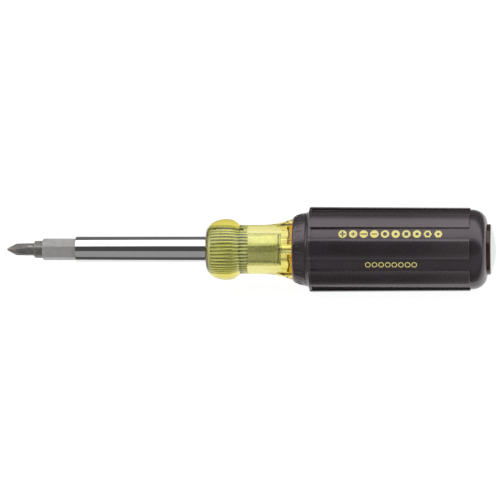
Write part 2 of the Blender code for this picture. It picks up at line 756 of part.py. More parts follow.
handle = bpy.data.objects.new("handle", None)
handle.location = (HANDLE_FRONT_X, 0.0, AXIS_HEIGHT)
PARTS.objects.link(handle)
socket = new_frame("socket", handle, 0.0, turn=SHAFT_TURN)
shaft = new_frame("shaft", handle, -TUBE_REACH, turn=SHAFT_TURN)
front_holder = new_frame("front_holder", shaft, -HOLDER_REACH)
rear_holder = new_frame("rear_holder", shaft, TUBE_LENGTH + HOLDER_REACH, reverse=True)
front_outer = new_frame("front_outer_bit", front_holder, -BIT_REACH)
front_inner = new_frame("front_inner_bit", front_holder, HOLDER_LENGTH + BIT_REACH, reverse=True)
rear_outer = new_frame("rear_outer_bit", rear_holder, -BIT_REACH)
rear_inner = new_frame("rear_inner_bit", rear_holder, HOLDER_LENGTH + BIT_REACH, reverse=True)

make_core(handle)
make_grip(handle)
make_insert(socket)
make_ring(socket)
make_tube(shaft)
make_holder("front_bit_holder", front_holder)
make_holder("rear_bit_holder", rear_holder)
make_bit("cross_bit", cross_tip, front_outer)
make_bit("slotted_bit", slot_tip, front_inner)
make_bit("star_bit", star_tip, rear_outer)
make_bit("square_bit", square_tip, rear_inner)
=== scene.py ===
# %% [markdown]
# # A ten-in-one screwdriver
# A clear yellow handle wears a black cushion. A chromed tube goes into the handle either way round, each
# end of the tube takes a hexagonal holder, and each end of a holder takes a bit with a tip at both ends.
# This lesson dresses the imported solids: every visible shape is built again with rounder edges and finer
# steps, and gets a finish made of nodes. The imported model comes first, because it says where things are.

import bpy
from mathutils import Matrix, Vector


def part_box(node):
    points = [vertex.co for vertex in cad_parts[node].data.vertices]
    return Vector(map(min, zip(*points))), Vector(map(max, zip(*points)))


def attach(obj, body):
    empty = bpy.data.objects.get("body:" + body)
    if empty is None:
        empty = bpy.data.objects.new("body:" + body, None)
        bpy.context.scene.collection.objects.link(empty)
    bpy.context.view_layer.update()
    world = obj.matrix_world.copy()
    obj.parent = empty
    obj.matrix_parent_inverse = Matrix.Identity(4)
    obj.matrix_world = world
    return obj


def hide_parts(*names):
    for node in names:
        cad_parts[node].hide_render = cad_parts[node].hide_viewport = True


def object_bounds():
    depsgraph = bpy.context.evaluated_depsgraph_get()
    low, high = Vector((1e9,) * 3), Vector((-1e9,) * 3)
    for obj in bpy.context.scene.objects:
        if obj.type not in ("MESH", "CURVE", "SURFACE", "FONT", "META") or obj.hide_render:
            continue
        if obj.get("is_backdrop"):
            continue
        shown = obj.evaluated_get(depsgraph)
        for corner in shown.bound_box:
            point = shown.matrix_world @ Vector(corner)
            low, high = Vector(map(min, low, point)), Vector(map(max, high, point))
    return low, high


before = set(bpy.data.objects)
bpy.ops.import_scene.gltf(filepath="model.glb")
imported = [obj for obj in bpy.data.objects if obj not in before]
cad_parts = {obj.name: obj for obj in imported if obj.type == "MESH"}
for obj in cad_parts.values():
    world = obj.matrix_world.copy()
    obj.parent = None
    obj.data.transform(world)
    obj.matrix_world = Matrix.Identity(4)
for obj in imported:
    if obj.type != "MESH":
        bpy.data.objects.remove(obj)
cad_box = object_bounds()
print("nodes:", len(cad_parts))

# %% [markdown]
# Sizes are easiest to read in millimetres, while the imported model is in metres, so one factor joins the two.
# The plain display transform keeps white paper white and chrome bright, where a film curve would grey both.

# %% Libraries and units
import math

import bmesh
import bpy
from mathutils import Matrix, Vector

MM = 0.001
scene = bpy.context.scene
scene.view_settings.view_transform = "Standard"
print("one millimetre in the packed model's units:", MM)

# %% [markdown]
# ## Where things are
# Everything on this tool is turned or pressed about one axis, so one height and a few places along that
# axis are all that is needed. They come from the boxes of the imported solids. Shapes are then drawn in
# millimetres about their own X axis, and a matrix carries each one to its place.

# %% The axis and the places along it
tube_low, tube_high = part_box("shaft_tube")
AXIS_HEIGHT = (tube_low.z + tube_high.z) / 2
HANDLE_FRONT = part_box("handle_core")[0].x
SHAFT_TURN = math.radians(22.5)


def place(along, turn=0.0, reverse=False):
    """Carries a shape drawn in millimetres about its own X axis to the tool's axis, from along."""
    back_to_front = Matrix.Rotation(math.pi if reverse else 0.0, 4, "Z")
    shift = Matrix.Translation((along, 0.0, AXIS_HEIGHT))
    return shift @ Matrix.Rotation(turn, 4, "X") @ back_to_front @ Matrix.Scale(MM, 4)


HANDLE_PLACE = place(HANDLE_FRONT)
print("axis height, mm:", round(AXIS_HEIGHT / MM, 3), "handle front, mm:", round(HANDLE_FRONT / MM, 2))

# %% [markdown]
# ## The camera
# The tool is seen from the side and a little from above and behind, from far enough away that its two
# ends look the same size. A long lens does that. The camera is rolled so that the axis runs level.

# %% Camera
VIEW_AZIMUTH = math.radians(5.0)
VIEW_ELEVATION = math.radians(22.5)
VIEW_DISTANCE = 1.96
VIEW_WIDTH = 0.201
VIEW_AIM = Vector((-0.0002, 0.0, AXIS_HEIGHT))
VIEW_DROP = 0.00025

back = Vector(
    (
        math.sin(VIEW_AZIMUTH) * math.cos(VIEW_ELEVATION),
        -math.cos(VIEW_AZIMUTH) * math.cos(VIEW_ELEVATION),
        math.sin(VIEW_ELEVATION),
    )
)
right = (Vector((1.0, 0.0, 0.0)) - back.x * back).normalized()
up = back.cross(right)
lens = bpy.data.cameras.new("camera")
lens.sensor_width = 36.0
lens.lens = 36.0 * VIEW_DISTANCE / VIEW_WIDTH
lens.clip_end = 100.0
camera = bpy.data.objects.new("camera", lens)
scene.collection.objects.link(camera)
camera.matrix_world = Matrix.Translation(VIEW_AIM - up * VIEW_DROP + back * VIEW_DISTANCE) @ Matrix(
    (right, up, back)
).transposed().to_4x4()
scene.camera = camera
print("lens, mm:", round(lens.lens))

# %% [markdown]
# ## Nodes in one line
# Every finish and the studio itself are node trees. A small helper adds a node, sets what is given as a
# number and links what is given as a socket, so that a finish reads as a short list.

# %% A helper for nodes


def add(tree, kind, settings=None, **inputs):
    """A new node. Settings are its own properties; inputs are numbers, or sockets to link."""
    made = tree.nodes.new("ShaderNode" + kind)
    for name, value in (settings or {}).items():
        setattr(made, name, value)
    for name, value in inputs.items():
        key = int(name[1:]) if name[0] == "_" else name.replace("_", " ")
        socket = made.inputs[key]
        if isinstance(value, bpy.types.NodeSocket):
            tree.links.new(value, socket)
        else:
            socket.default_value = value
    return made


def ramp(tree, factor, stops):
    """A grey ramp through (position, grey) stops."""
    made = add(tree, "ValToRGB", Fac=factor)
    elements = made.color_ramp.elements
    while len(elements) < len(stops):
        elements.new(0.5)
    for element, (position, grey) in zip(elements, stops):
        element.position = position
        element.color = (grey, grey, grey, 1.0)
    return made.outputs["Color"]


# %% [markdown]
# ## The studio
# Polished chrome has no colour of its own: it shows the room. So the room is built first, as bands that
# run along the tool: one wide soft box overhead, dark cards beside it, a grey wall in front, and the white
# sweep below. A band is a range of angle about the tool's axis, in degrees: 0 is level toward the camera,
# 90 is straight up. Lamps and cards would do too, but a world lights clear plastic without noise.
#
# Clear plastic shows what is behind it, and a dark card there would blacken its rim. Rays that have passed
# through plastic therefore get a second set of bands, dark only where the metal inside has to mirror
# something dark, and white towards both ends of the tool. A small lamp low behind the butt lights the dome.

# %% Bands of light about the axis
SOFT_BOX = 1.7
BANDS = [
    (-180, 0.95),
    (-92, 0.95),
    (-86, 0.08),
    (-55, 0.08),
    (-50, 0.31),
    (3, 0.31),
    (9, 0.065),
    (50, 0.065),
    (56, SOFT_BOX),
    (113, SOFT_BOX),
    (121, 0.16),
    (178, 0.14),
    (180, 0.95),
]
BEHIND_CLEAR = [
    (-180, 0.95),
    (-75, 0.95),
    (-68, 0.14),
    (-55, 0.14),
    (-50, 0.35),
    (3, 0.35),
    (9, 0.1),
    (50, 0.1),
    (56, SOFT_BOX),
    (113, SOFT_BOX),
    (121, 0.95),
    (180, 0.95),
]
END_LAMP = 1.3
END_LAMP_EDGES = {"X": (0.25, 0.45), "Y": (0.25, 0.45), "Z": (0.06, -0.02)}
END_WALL_EDGE = (0.12, 0.28)
print("bands:", len(BANDS), "soft box strength:", SOFT_BOX)

# %% [markdown]
# The angle about the axis comes from the ray's direction, and a ramp turns it into light. The world can
# also tell what kind of ray asks: a camera ray sees plain white around the tool, a ray through plastic sees
# the second set of bands, and every other ray sees the first.

# %% The angle of a ray about the axis
world = bpy.data.worlds.new("studio")
scene.world = world
world.use_nodes = True
tree = world.node_tree
tree.nodes.clear()
direction = add(tree, "SeparateXYZ", Vector=add(tree, "TexCoord").outputs["Generated"])
toward = add(tree, "Math", {"operation": "MULTIPLY"}, _0=direction.outputs["Y"], _1=-1.0)
angle = add(tree, "Math", {"operation": "ARCTAN2"}, _0=direction.outputs["Z"], _1=toward.outputs[0])
share = add(tree, "MapRange", Value=angle.outputs[0], From_Min=-math.pi, From_Max=math.pi)

# %% How much of the lamp a ray sees
rays = add(tree, "LightPath")
lamp_share = rays.outputs["Is Glossy Ray"]
for side, (dark_from, bright_from) in END_LAMP_EDGES.items():
    edge = add(
        tree,
        "MapRange",
        Value=direction.outputs[side],
        From_Min=dark_from,
        From_Max=bright_from,
    )
    both = add(tree, "Math", {"operation": "MULTIPLY"}, _0=lamp_share, _1=edge.outputs[0])
    lamp_share = both.outputs[0]


def studio_light(bands):
    """The bands, and for glossy rays a small lamp behind the handle's end."""
    stops = [((degrees + 180) / 360, value / SOFT_BOX) for degrees, value in bands]
    lamp = (END_LAMP / SOFT_BOX,) * 3 + (1.0,)
    colour = add(
        tree,
        "Mix",
        {"data_type": "RGBA"},
        _0=lamp_share,
        _6=ramp(tree, share.outputs[0], stops),
        _7=lamp,
    )
    return add(tree, "Background", Color=colour.outputs[2], Strength=SOFT_BOX).outputs[0]


# %% What each kind of ray sees
white = add(tree, "Background", Color=(1.0, 1.0, 1.0, 1.0), Strength=1.0)
ends = add(
    tree,
    "MapRange",
    Value=add(tree, "Math", {"operation": "ABSOLUTE"}, _0=direction.outputs["X"]).outputs[0],
    From_Min=END_WALL_EDGE[0],
    From_Max=END_WALL_EDGE[1],
)
room = add(
    tree, "MixShader", Fac=ends.outputs[0], _1=studio_light(BEHIND_CLEAR), _2=white.outputs[0]
)
through = add(
    tree,
    "MixShader",
    Fac=rays.outputs["Is Transmission Ray"],
    _1=studio_light(BANDS),
    _2=room.outputs[0],
)
seen = add(
    tree, "MixShader", Fac=rays.outputs["Is Camera Ray"], _1=through.outputs[0], _2=white.outputs[0]
)
add(tree, "OutputWorld", Surface=seen.outputs[0])
print("studio nodes:", len(tree.nodes))

# %% [markdown]
# The sweep under the tool is a lit white table, so almost no shadow is left on it. A white plane under
# lamps would need much stronger lamps to reach that. This one glows by itself and also takes a little
# light, which keeps a trace of contact under the grip. Metal and clear plastic see the bands in its place.

# %% The white table
FLOOR_RADIUS = 4.0
FLOOR_GLOW = 0.97
bm = bmesh.new()
bmesh.ops.create_circle(bm, cap_ends=True, segments=96, radius=FLOOR_RADIUS)
mesh = bpy.data.meshes.new("table")
bm.to_mesh(mesh)
bm.free()
floor = bpy.data.objects.new("table", mesh)
scene.collection.objects.link(floor)
floor_finish = bpy.data.materials.new("white_table")
floor_finish.use_nodes = True
shader = floor_finish.node_tree.nodes["Principled BSDF"]
shader.inputs["Base Color"].default_value = (0.12, 0.12, 0.12, 1.0)
shader.inputs["Roughness"].default_value = 0.9
shader.inputs["Specular IOR Level"].default_value = 0.0
shader.inputs["Emission Color"].default_value = (1.0, 1.0, 1.0, 1.0)
shader.inputs["Emission Strength"].default_value = FLOOR_GLOW
mesh.materials.append(floor_finish)
floor.visible_glossy = False
floor.visible_transmission = False
floor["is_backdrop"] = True
print("table radius, m:", FLOOR_RADIUS)

# %% [markdown]
# ## Shapes from rings
# A turned, fluted or hexagonal piece is a row of rings along the axis with faces between them. A ring's
# radius may change with the angle, so one helper draws a round shank, a hexagon, a star tip and a grip with
# ribs. Lathing a profile would only give round pieces, and cutting flats with Booleans leaves edges that
# can't be rounded afterwards.

# %% Rings, and the skin over them


def evenly(count, start=0.0):
    """Angles round a full turn, in radians."""
    return [math.radians(start) + 2 * math.pi * i / count for i in range(count)]


def ring(along, radius, angles):
    """Points about the X axis. The radius is a number, or a function of the angle."""
    points = []
    for a in angles:
        r = radius(a) if callable(radius) else radius
        points.append((along, r * math.cos(a), r * math.sin(a)))
    return points


def skin(name, rings, loop=False):
    """Faces between rings that follow each other. A ring of one point is a pole."""
    bm = bmesh.new()
    rows = [[bm.verts.new(point) for point in points] for points in rings]
    for first, second in zip(rows, rows[1:] + rows[:1] if loop else rows[1:]):
        for i in range(max(len(first), len(second))):
            corners = [first[i % len(first)], first[(i + 1) % len(first)]]
            corners += [second[(i + 1) % len(second)], second[i % len(second)]]
            corners = list(dict.fromkeys(corners))
            if len(corners) > 2:
                bm.faces.new(corners)
    bmesh.ops.remove_doubles(bm, verts=bm.verts, dist=1e-5)
    bmesh.ops.dissolve_degenerate(bm, edges=bm.edges, dist=1e-5)
    return closed_object(name, bm)


# %% [markdown]
# A mesh whose faces point inwards looks right until it is cut or made of glass. Its signed volume tells, so
# every new mesh is checked once, here, and turned if it has to be.

# %% From a closed mesh to an object


def closed_object(name, bm):
    """An object from a closed mesh, with its faces turned outwards."""
    bmesh.ops.recalc_face_normals(bm, faces=bm.faces)
    if bm.calc_volume(signed=True) < 0:
        bmesh.ops.reverse_faces(bm, faces=bm.faces)
    mesh = bpy.data.meshes.new(name)
    bm.to_mesh(mesh)
    bm.free()
    obj = bpy.data.objects.new(name, mesh)
    scene.collection.objects.link(obj)
    return obj


# %% [markdown]
# A few things really are cut on a real bench: slots, drilled holes, ground faces. For those a Boolean is
# right. The exact solver copes with cutters that graze a face, and its result is taken once, so that no
# modifier is left to compute again.

# %% Cutters


def block(name, size, matrix):
    """A box of that size about the origin, moved by the matrix. It serves as a cutter."""
    bm = bmesh.new()
    bmesh.ops.create_cube(bm, size=1.0)
    bm.transform(matrix @ Matrix.Diagonal((*size, 1.0)))
    return closed_object(name, bm)


def carve(target, cutters):
    """Cuts the cutters out of the target and removes them."""
    for cutter in cutters:
        modifier = target.modifiers.new(cutter.name, "BOOLEAN")
        modifier.operation = "DIFFERENCE"
        modifier.solver = "EXACT"
        modifier.object = cutter
    bpy.context.view_layer.update()
    made = bpy.data.meshes.new_from_object(
        target.evaluated_get(bpy.context.evaluated_depsgraph_get())
    )
    target.modifiers.clear()
    target.data = made
    for cutter in cutters:
        bpy.data.objects.remove(cutter)
    return target


# %% [markdown]
# Each piece ends the same way: it goes to its place, gets its finish, rides on an empty for its body and hides
# the imported solids it stands in for. Faces are smoothed, except across edges sharper than a given angle, so
# that a hexagon keeps its flats while a round bar loses its steps.

# %% The last step for every piece


def finish_piece(obj, matrix, body, material, nodes=(), sharp=30.0):
    """Puts a piece in its place, smooths it up to sharp edges, gives it its material, hangs it on its body and
    hides the solids it replaces.
    """
    obj.data.transform(matrix)
    obj.data.shade_smooth()
    obj.data.set_sharp_from_angle(angle=math.radians(sharp))
    obj.data.materials.clear()
    obj.data.materials.append(material)
    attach(obj, body)
    if nodes:
        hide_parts(*nodes)
    print(obj.name, "on", body, "faces:", len(obj.data.polygons))
    return obj


def arc(start, end, steps=5, hollow=False):
    """A quarter ellipse between (along, radius) points. Hollow ones leave along the axis."""
    (x0, r0), (x1, r1) = start, end
    turns = [math.pi / 2 * i / steps for i in range(steps + 1)]
    if hollow:
        return [(x0 + (x1 - x0) * math.sin(t), r1 + (r0 - r1) * math.cos(t)) for t in turns]
    return [(x1 - (x1 - x0) * math.cos(t), r0 + (r1 - r0) * math.sin(t)) for t in turns]


# %% [markdown]
# ## Finishes
# Each finish starts from a few numbers for the real material and adds what hands and tools leave on it:
# uneven colour, a roughness that varies, a fine surface, and edges that are rubbed bright or worn dull. A few
# finishes also carry painted light or shade in their colour, and say so where they do.
# Noise in the object's own coordinates gives all of it without any picture, and rides with the piece.

# %% Helpers for finishes


def new_finish(name):
    """A material with only its Principled shader and output: (material, tree, shader)."""
    print("finish:", name)
    material = bpy.data.materials.new(name)
    material.use_nodes = True
    tree = material.node_tree
    return material, tree, tree.nodes["Principled BSDF"]


def noise(tree, scale, detail=3.0, stretch=(1.0, 1.0, 1.0)):
    """Noise from 0 to 1 with features about 1/scale millimetres across, stretched per axis."""
    place_of = add(tree, "TexCoord").outputs["Object"]
    mapped = add(tree, "Mapping", Vector=place_of, Scale=[s * scale / MM for s in stretch])
    made = add(tree, "TexNoise", Vector=mapped.outputs[0], Scale=1.0, Detail=detail)
    return made.outputs[0]


# %% Helpers that blend, raise and mask


def between(tree, factor, low, high, start=0.3, end=0.7):
    """Factor from start to end becomes a number from low to high."""
    made = add(tree, "MapRange", Value=factor, From_Min=start, From_Max=end, To_Min=low, To_Max=high)
    return made.outputs[0]


def mixed(tree, factor, first, second):
    """A colour between two colours."""
    made = add(tree, "Mix", {"data_type": "RGBA"}, _0=factor, _6=first, _7=second)
    return made.outputs[2]


def rgb(*values):
    """A colour with full alpha."""
    return (*values, 1.0)


def bump(tree, height, depth, strength=1.0):
    """A surface that rises by depth millimetres where height is 1."""
    made = add(tree, "Bump", Strength=strength, Distance=depth * MM, Height=height)
    return made.outputs[0]


def worn_edges_and_shaded_hollows(tree, start=0.505, end=0.56):
    """0 on faces, rising to 1 on edges that stick out. A lower start leaves only hollows at 0, for painted
    shade.
    """
    return between(tree, add(tree, "NewGeometry").outputs["Pointiness"], 0.0, 1.0, start, end)


def beyond(tree, start, fade):
    """0 ahead of a place along the handle, rising to 1 over fade, in millimetres from its front."""
    along = add(tree, "SeparateXYZ", Vector=add(tree, "TexCoord").outputs["Object"]).outputs["X"]
    begin = HANDLE_FRONT + start * MM
    return between(tree, along, 0.0, 1.0, begin, begin + fade * MM)


def fill(tree, shader, **inputs):
    """Sets the shader's sockets to numbers, or links them."""
    for name, value in inputs.items():
        socket = shader.inputs[name.replace("_", " ")]
        if isinstance(value, bpy.types.NodeSocket):
            tree.links.new(value, socket)
        else:
            socket.default_value = value


# %% [markdown]
# Cellulose acetate is cast clear with a yellow-green dye and polished in solvent vapour, so it is glossy
# but never quite flat. A tinted surface would colour thick and thin alike. The dye works through depth,
# which is what a volume absorption does: thin edges stay pale and the thick bolster turns olive. The butt's
# dome gets a painted pale reflection in its colour, and the side of its stub gets painted dark shade.

# %% Clear yellow acetate
ACETATE, tree, shader = new_finish("clear_yellow_acetate")
ripple = noise(tree, 0.35, 2.0)
specks = noise(tree, 4.0, 4.0)
# The dome's pale colour is a painted reflection, and the dark maroon on the stub's side is painted shade.
DOME_REFLECTION_START = 114.3
STUB_SHADE_START = 112.2
DOME_REFLECTION_ROUGHNESS = 0.2
dome_painted_reflection = beyond(tree, DOME_REFLECTION_START, 0.3)
stub_painted_shade = beyond(tree, STUB_SHADE_START, 0.2)
polish = between(tree, specks, 0.015, 0.05)
clear = mixed(tree, between(tree, ripple, 0.0, 1.0), rgb(0.995, 0.98, 0.78), rgb(0.97, 0.955, 0.72))
# Painted shade: dark maroon on the side of the stub.
side = mixed(tree, stub_painted_shade, clear, rgb(0.055, 0.022, 0.018))
opaque = add(tree, "Math", {"operation": "MAXIMUM"}, _0=dome_painted_reflection, _1=stub_painted_shade).outputs[0]
rough = add(tree, "Math", {"operation": "MULTIPLY_ADD"}, _0=dome_painted_reflection, _1=DOME_REFLECTION_ROUGHNESS, _2=polish)
fill(
    tree,
    shader,
    # Painted reflection: the dome turns pale, rougher and less clear.
    Base_Color=mixed(tree, dome_painted_reflection, side, rgb(0.82, 0.91, 0.83)),
    Roughness=rough.outputs[0],
    IOR=1.47,
    Transmission_Weight=between(tree, opaque, 1.0, 0.1, 0.0, 1.0),
    Normal=bump(tree, ripple, 0.02, 0.5),
)
dye = add(tree, "VolumeAbsorption", Color=rgb(0.963, 0.923, 0.43), Density=150.0)
tree.links.new(dye.outputs[0], tree.nodes["Material Output"].inputs["Volume"])

# %% [markdown]
# The cushion is soft vinyl from a blasted steel mould, so it has a fine grain under a satin shine. It is
# not quite black: a warm grey shows where light falls, and handled rib edges are lighter. A plain dark
# colour would lose all of that, so slow noise shifts the base, fine noise makes the grain, and the sheen's
# tint carries the warmth.

# %% Black cushion vinyl
VINYL, tree, shader = new_finish("black_cushion_vinyl")
cloud = noise(tree, 0.12, 3.0)
grain = noise(tree, 9.0, 2.0)
edge = worn_edges_and_shaded_hollows(tree)
base = mixed(tree, between(tree, cloud, 0.0, 1.0), rgb(0.021, 0.017, 0.019), rgb(0.028, 0.022, 0.025))
fill(
    tree,
    shader,
    Base_Color=mixed(tree, edge, base, rgb(0.070, 0.060, 0.064)),
    Roughness=between(tree, noise(tree, 1.3, 4.0), 0.22, 0.29),
    Specular_IOR_Level=0.9,
    Specular_Tint=rgb(1.0, 0.88, 0.96),
    Normal=bump(tree, grain, 0.008, 0.3),
)

# %% [markdown]
# Chrome plate on a drawn tube is a mirror with faint lines along the tube. They spread the reflection
# across, not along. An anisotropic shader could do it, but stretched noise in the roughness and the bump
# also makes the lines themselves.

# %% Polished chrome
CHROME, tree, shader = new_finish("polished_chrome")
drawn = noise(tree, 12.0, 2.0, (0.01, 1.0, 1.0))
haze = noise(tree, 0.4, 4.0)
fill(
    tree,
    shader,
    Base_Color=mixed(
        tree, between(tree, haze, 0.0, 1.0), rgb(0.89, 0.878, 0.872), rgb(0.85, 0.838, 0.834)
    ),
    Metallic=1.0,
    Roughness=between(tree, drawn, 0.04, 0.09),
    Normal=bump(tree, drawn, 0.001, 0.25),
)

# %% [markdown]
# The holders are hexagonal bar, tumbled and given a dull grey nickel. The drawing lines are coarser than
# under chrome, and corners are rubbed brighter. As a full metal it would mirror the bands one by one. A
# mostly matt base under a soft coat gives the even grey of a tumbled surface with a gentle shine on top.

# %% Satin steel
SATIN, tree, shader = new_finish("satin_nickel_steel")
drawn = noise(tree, 7.0, 3.0, (0.02, 1.0, 1.0))
haze = noise(tree, 0.5, 4.0)
face = mixed(tree, between(tree, haze, 0.0, 1.0), rgb(0.33, 0.325, 0.320), rgb(0.40, 0.394, 0.387))
fill(
    tree,
    shader,
    Base_Color=mixed(tree, worn_edges_and_shaded_hollows(tree), face, rgb(0.62, 0.61, 0.59)),
    Metallic=0.15,
    Coat_Weight=0.5,
    Coat_Roughness=0.3,
    Roughness=between(tree, drawn, 0.50, 0.64),
    Normal=bump(tree, drawn, 0.006, 0.5),
)

# %% [markdown]
# The socket in the handle is zinc plated and left bright from the lathe, with a faint green cast. The
# lathe's lines run round it, so the noise is stretched round too. The edge mask is shifted so that it
# darkens the knurl's roots and other hollows, as painted shade, instead of brightening edges.

# %% Bright turned steel
TURNED, tree, shader = new_finish("bright_zinc_steel")
turning = noise(tree, 9.0, 2.0, (1.0, 0.03, 0.03))
haze = noise(tree, 0.5, 4.0)
fill(
    tree,
    shader,
    # Darker in the knurl's roots and other hollows: painted shade.
    Base_Color=mixed(
        tree,
        worn_edges_and_shaded_hollows(tree, 0.47, 0.51),
        rgb(0.28, 0.30, 0.23),
        mixed(tree, between(tree, haze, 0.0, 1.0), rgb(0.70, 0.74, 0.64), rgb(0.60, 0.65, 0.55)),
    ),
    Metallic=1.0,
    Roughness=between(tree, turning, 0.24, 0.36),
    Normal=bump(tree, turning, 0.003, 0.5),
)

# %% [markdown]
# Bits are hardened, blasted and oiled, which leaves them dark, warm and slightly grainy. Use shines the
# edges of the tips first, and the pointiness of the mesh finds those edges without painting anything.

# %% Dark bit steel
BIT_STEEL, tree, shader = new_finish("dark_bit_steel")
grain = noise(tree, 6.0, 4.0)
cloud = noise(tree, 0.6, 3.0)
face = mixed(tree, between(tree, cloud, 0.0, 1.0), rgb(0.17, 0.161, 0.152), rgb(0.26, 0.246, 0.233))
fill(
    tree,
    shader,
    Base_Color=mixed(tree, worn_edges_and_shaded_hollows(tree, 0.51, 0.60), face, rgb(0.52, 0.50, 0.475)),
    Metallic=0.65,
    Roughness=between(tree, grain, 0.42, 0.56),
    Normal=bump(tree, grain, 0.008, 0.5),
)

# %% [markdown]
# Springs, balls and the retaining ring are bright hard steel with a thin film of oil. They are tiny, so
# one finish with a changing film does for all of them.

# %% Spring steel
SPRING, tree, shader = new_finish("spring_steel")
film = noise(tree, 2.0, 3.0)
fill(
    tree,
    shader,
    Base_Color=mixed(tree, between(tree, film, 0.0, 1.0), rgb(0.60, 0.59, 0.58), rgb(0.50, 0.48, 0.45)),
    Metallic=1.0,
    Roughness=between(tree, film, 0.14, 0.26),
    Normal=bump(tree, noise(tree, 10.0, 2.0), 0.002, 0.4),
)

# %% [markdown]
# The marks on the grip are hot-stamped in pale yellow. The film is thin, so the vinyl's grain breaks
# through it in places: a noise with hard ends gives bare patches, where an even blend would look sprayed.

# %% Pale yellow marking
INK, tree, shader = new_finish("pale_yellow_marking")
patchy = noise(tree, 5.0, 4.0)
fill(
    tree,
    shader,
    Base_Color=mixed(
        tree, between(tree, patchy, 0.0, 1.0, 0.25, 0.5), rgb(0.70, 0.60, 0.20), rgb(0.97, 0.86, 0.28)
    ),
    Roughness=between(tree, patchy, 0.55, 0.40),
    Normal=bump(tree, noise(tree, 9.0, 2.0), 0.01, 0.35),
)
print("finishes:", len(bpy.data.materials))

# %% [markdown]
# ## The clear handle
# One casting: a round bolster for the fingertips, a neck, and a flare that runs back under the cushion and
# ends in a domed stub. Six flutes run along the flare and key the cushion on. Rings with a flute-shaped dip
# draw it. The casting is poured round the knurled socket, so there the inner skin goes inside the metal:
# with an air gap the knurl would look thin instead of filling the neck.

# %% Handle sizes, in millimetres from its front face
NECK_RADIUS = 9.903
BOLSTER_RADIUS = 12.303
BOLSTER_FRONT = 8.0
BOLSTER_LAND = 0.4
BOLSTER_REAR_RADIUS = 7.0
FLARE_START = 22.076
FLARE_END = 36.897
FLARE_RADIUS = 34.0
BODY_RADIUS = 13.303
SHOULDER_START = 108.0
STUB_START = 110.6
STUB_RADIUS = 10.2
HANDLE_LENGTH = 116.2
DOME_HEIGHT = 1.9
DOME_FLAT = 2.5
FACE_RADIUS = 6.853
CORE_BORE = 5.523
BORE_DEPTH = 101.8
INSERT_BORE = 5.323
INSERT_HEAD = 6.703
INSERT_HEAD_END = 17.3
INSERT_TAIL = 6.603
INSERT_END = 30.8
FLUTE_RADIUS = 2.1
FLUTE_FLOOR = 0.55
FLUTES = 6
FLUTE_ANGLE = math.radians(37.5)
FLUTE_END = 113.4
SKIN_GAP = 0.15
SOFT_RIM = 0.6
print("handle, mm:", HANDLE_LENGTH, "long, bolster", 2 * BOLSTER_RADIUS)

# %% [markdown]
# The bolster's front is a quarter ellipse and its back a plain radius, as a turner would blend them. The
# flare needs many short steps, because clear plastic shows every facet twice, once in front and once behind.

# %% The handle's outline


def flare_radius(along):
    """The handle's radius where it swells from the neck to the body."""
    run = min(max(along - FLARE_START, 0.0), FLARE_END - FLARE_START)
    return NECK_RADIUS + FLARE_RADIUS - math.sqrt(FLARE_RADIUS**2 - run**2)


def fluted(radius):
    """A ring radius that dips where a flute of round section runs along it."""
    out = NECK_RADIUS + FLUTE_FLOOR + FLUTE_RADIUS

    def at(angle):
        step = 2 * math.pi / FLUTES
        off = (angle - FLUTE_ANGLE + step / 2) % step - step / 2
        beside = out * math.sin(off)
        if abs(beside) >= FLUTE_RADIUS:
            return radius
        return min(radius, out * math.cos(off) - math.sqrt(FLUTE_RADIUS**2 - beside**2))

    return at


# %% The handle's profile


def handle_profile():
    """(along, radius, has flutes) from the front face to the dome."""
    points = [(0.0, FACE_RADIUS - SOFT_RIM), (0.0, FACE_RADIUS)]
    points += arc((0.0, FACE_RADIUS), (BOLSTER_FRONT, BOLSTER_RADIUS), 22)[1:]
    turn = math.acos(1 - (BOLSTER_RADIUS - NECK_RADIUS) / BOLSTER_REAR_RADIUS)
    back_steps = 14
    for i in range(back_steps + 1):
        a = turn * i / back_steps
        along = BOLSTER_FRONT + BOLSTER_LAND + BOLSTER_REAR_RADIUS * math.sin(a)
        points.append((along, BOLSTER_RADIUS - BOLSTER_REAR_RADIUS * (1 - math.cos(a))))
    points.append((FLARE_START, NECK_RADIUS))
    plain = [(along, radius, False) for along, radius in points]
    steps = 84
    swell = FLARE_END - FLARE_START
    flare = [FLARE_START + swell * i / steps for i in range(1, steps + 1)]
    keyed = [(along, flare_radius(along), True) for along in flare]
    keyed += [(s, BODY_RADIUS, True) for s in (60.0, 85.0)]
    shoulder = arc((SHOULDER_START, BODY_RADIUS), (STUB_START, STUB_RADIUS), 6, hollow=True)
    keyed += [(along, radius, True) for along, radius in shoulder]
    keyed += [(FLUTE_END, STUB_RADIUS, True), (FLUTE_END, STUB_RADIUS, False)]
    rim = HANDLE_LENGTH - DOME_HEIGHT
    foot = STUB_RADIUS - 0.2
    dome = [(rim - 0.3, STUB_RADIUS), (rim, foot)]
    dome_steps = 12
    for i in range(1, dome_steps + 1):
        radius = foot + (DOME_FLAT - foot) * i / dome_steps
        gone = (radius**2 - DOME_FLAT**2) / (foot**2 - DOME_FLAT**2)
        dome.append((HANDLE_LENGTH - DOME_HEIGHT * gone, radius))
    return plain + keyed + [(along, radius, False) for along, radius in dome]


# %% [markdown]
# The skin starts at the blind end of the bore, comes forward inside, turns over the front rim and goes back
# outside to the dome, so it is one closed surface.

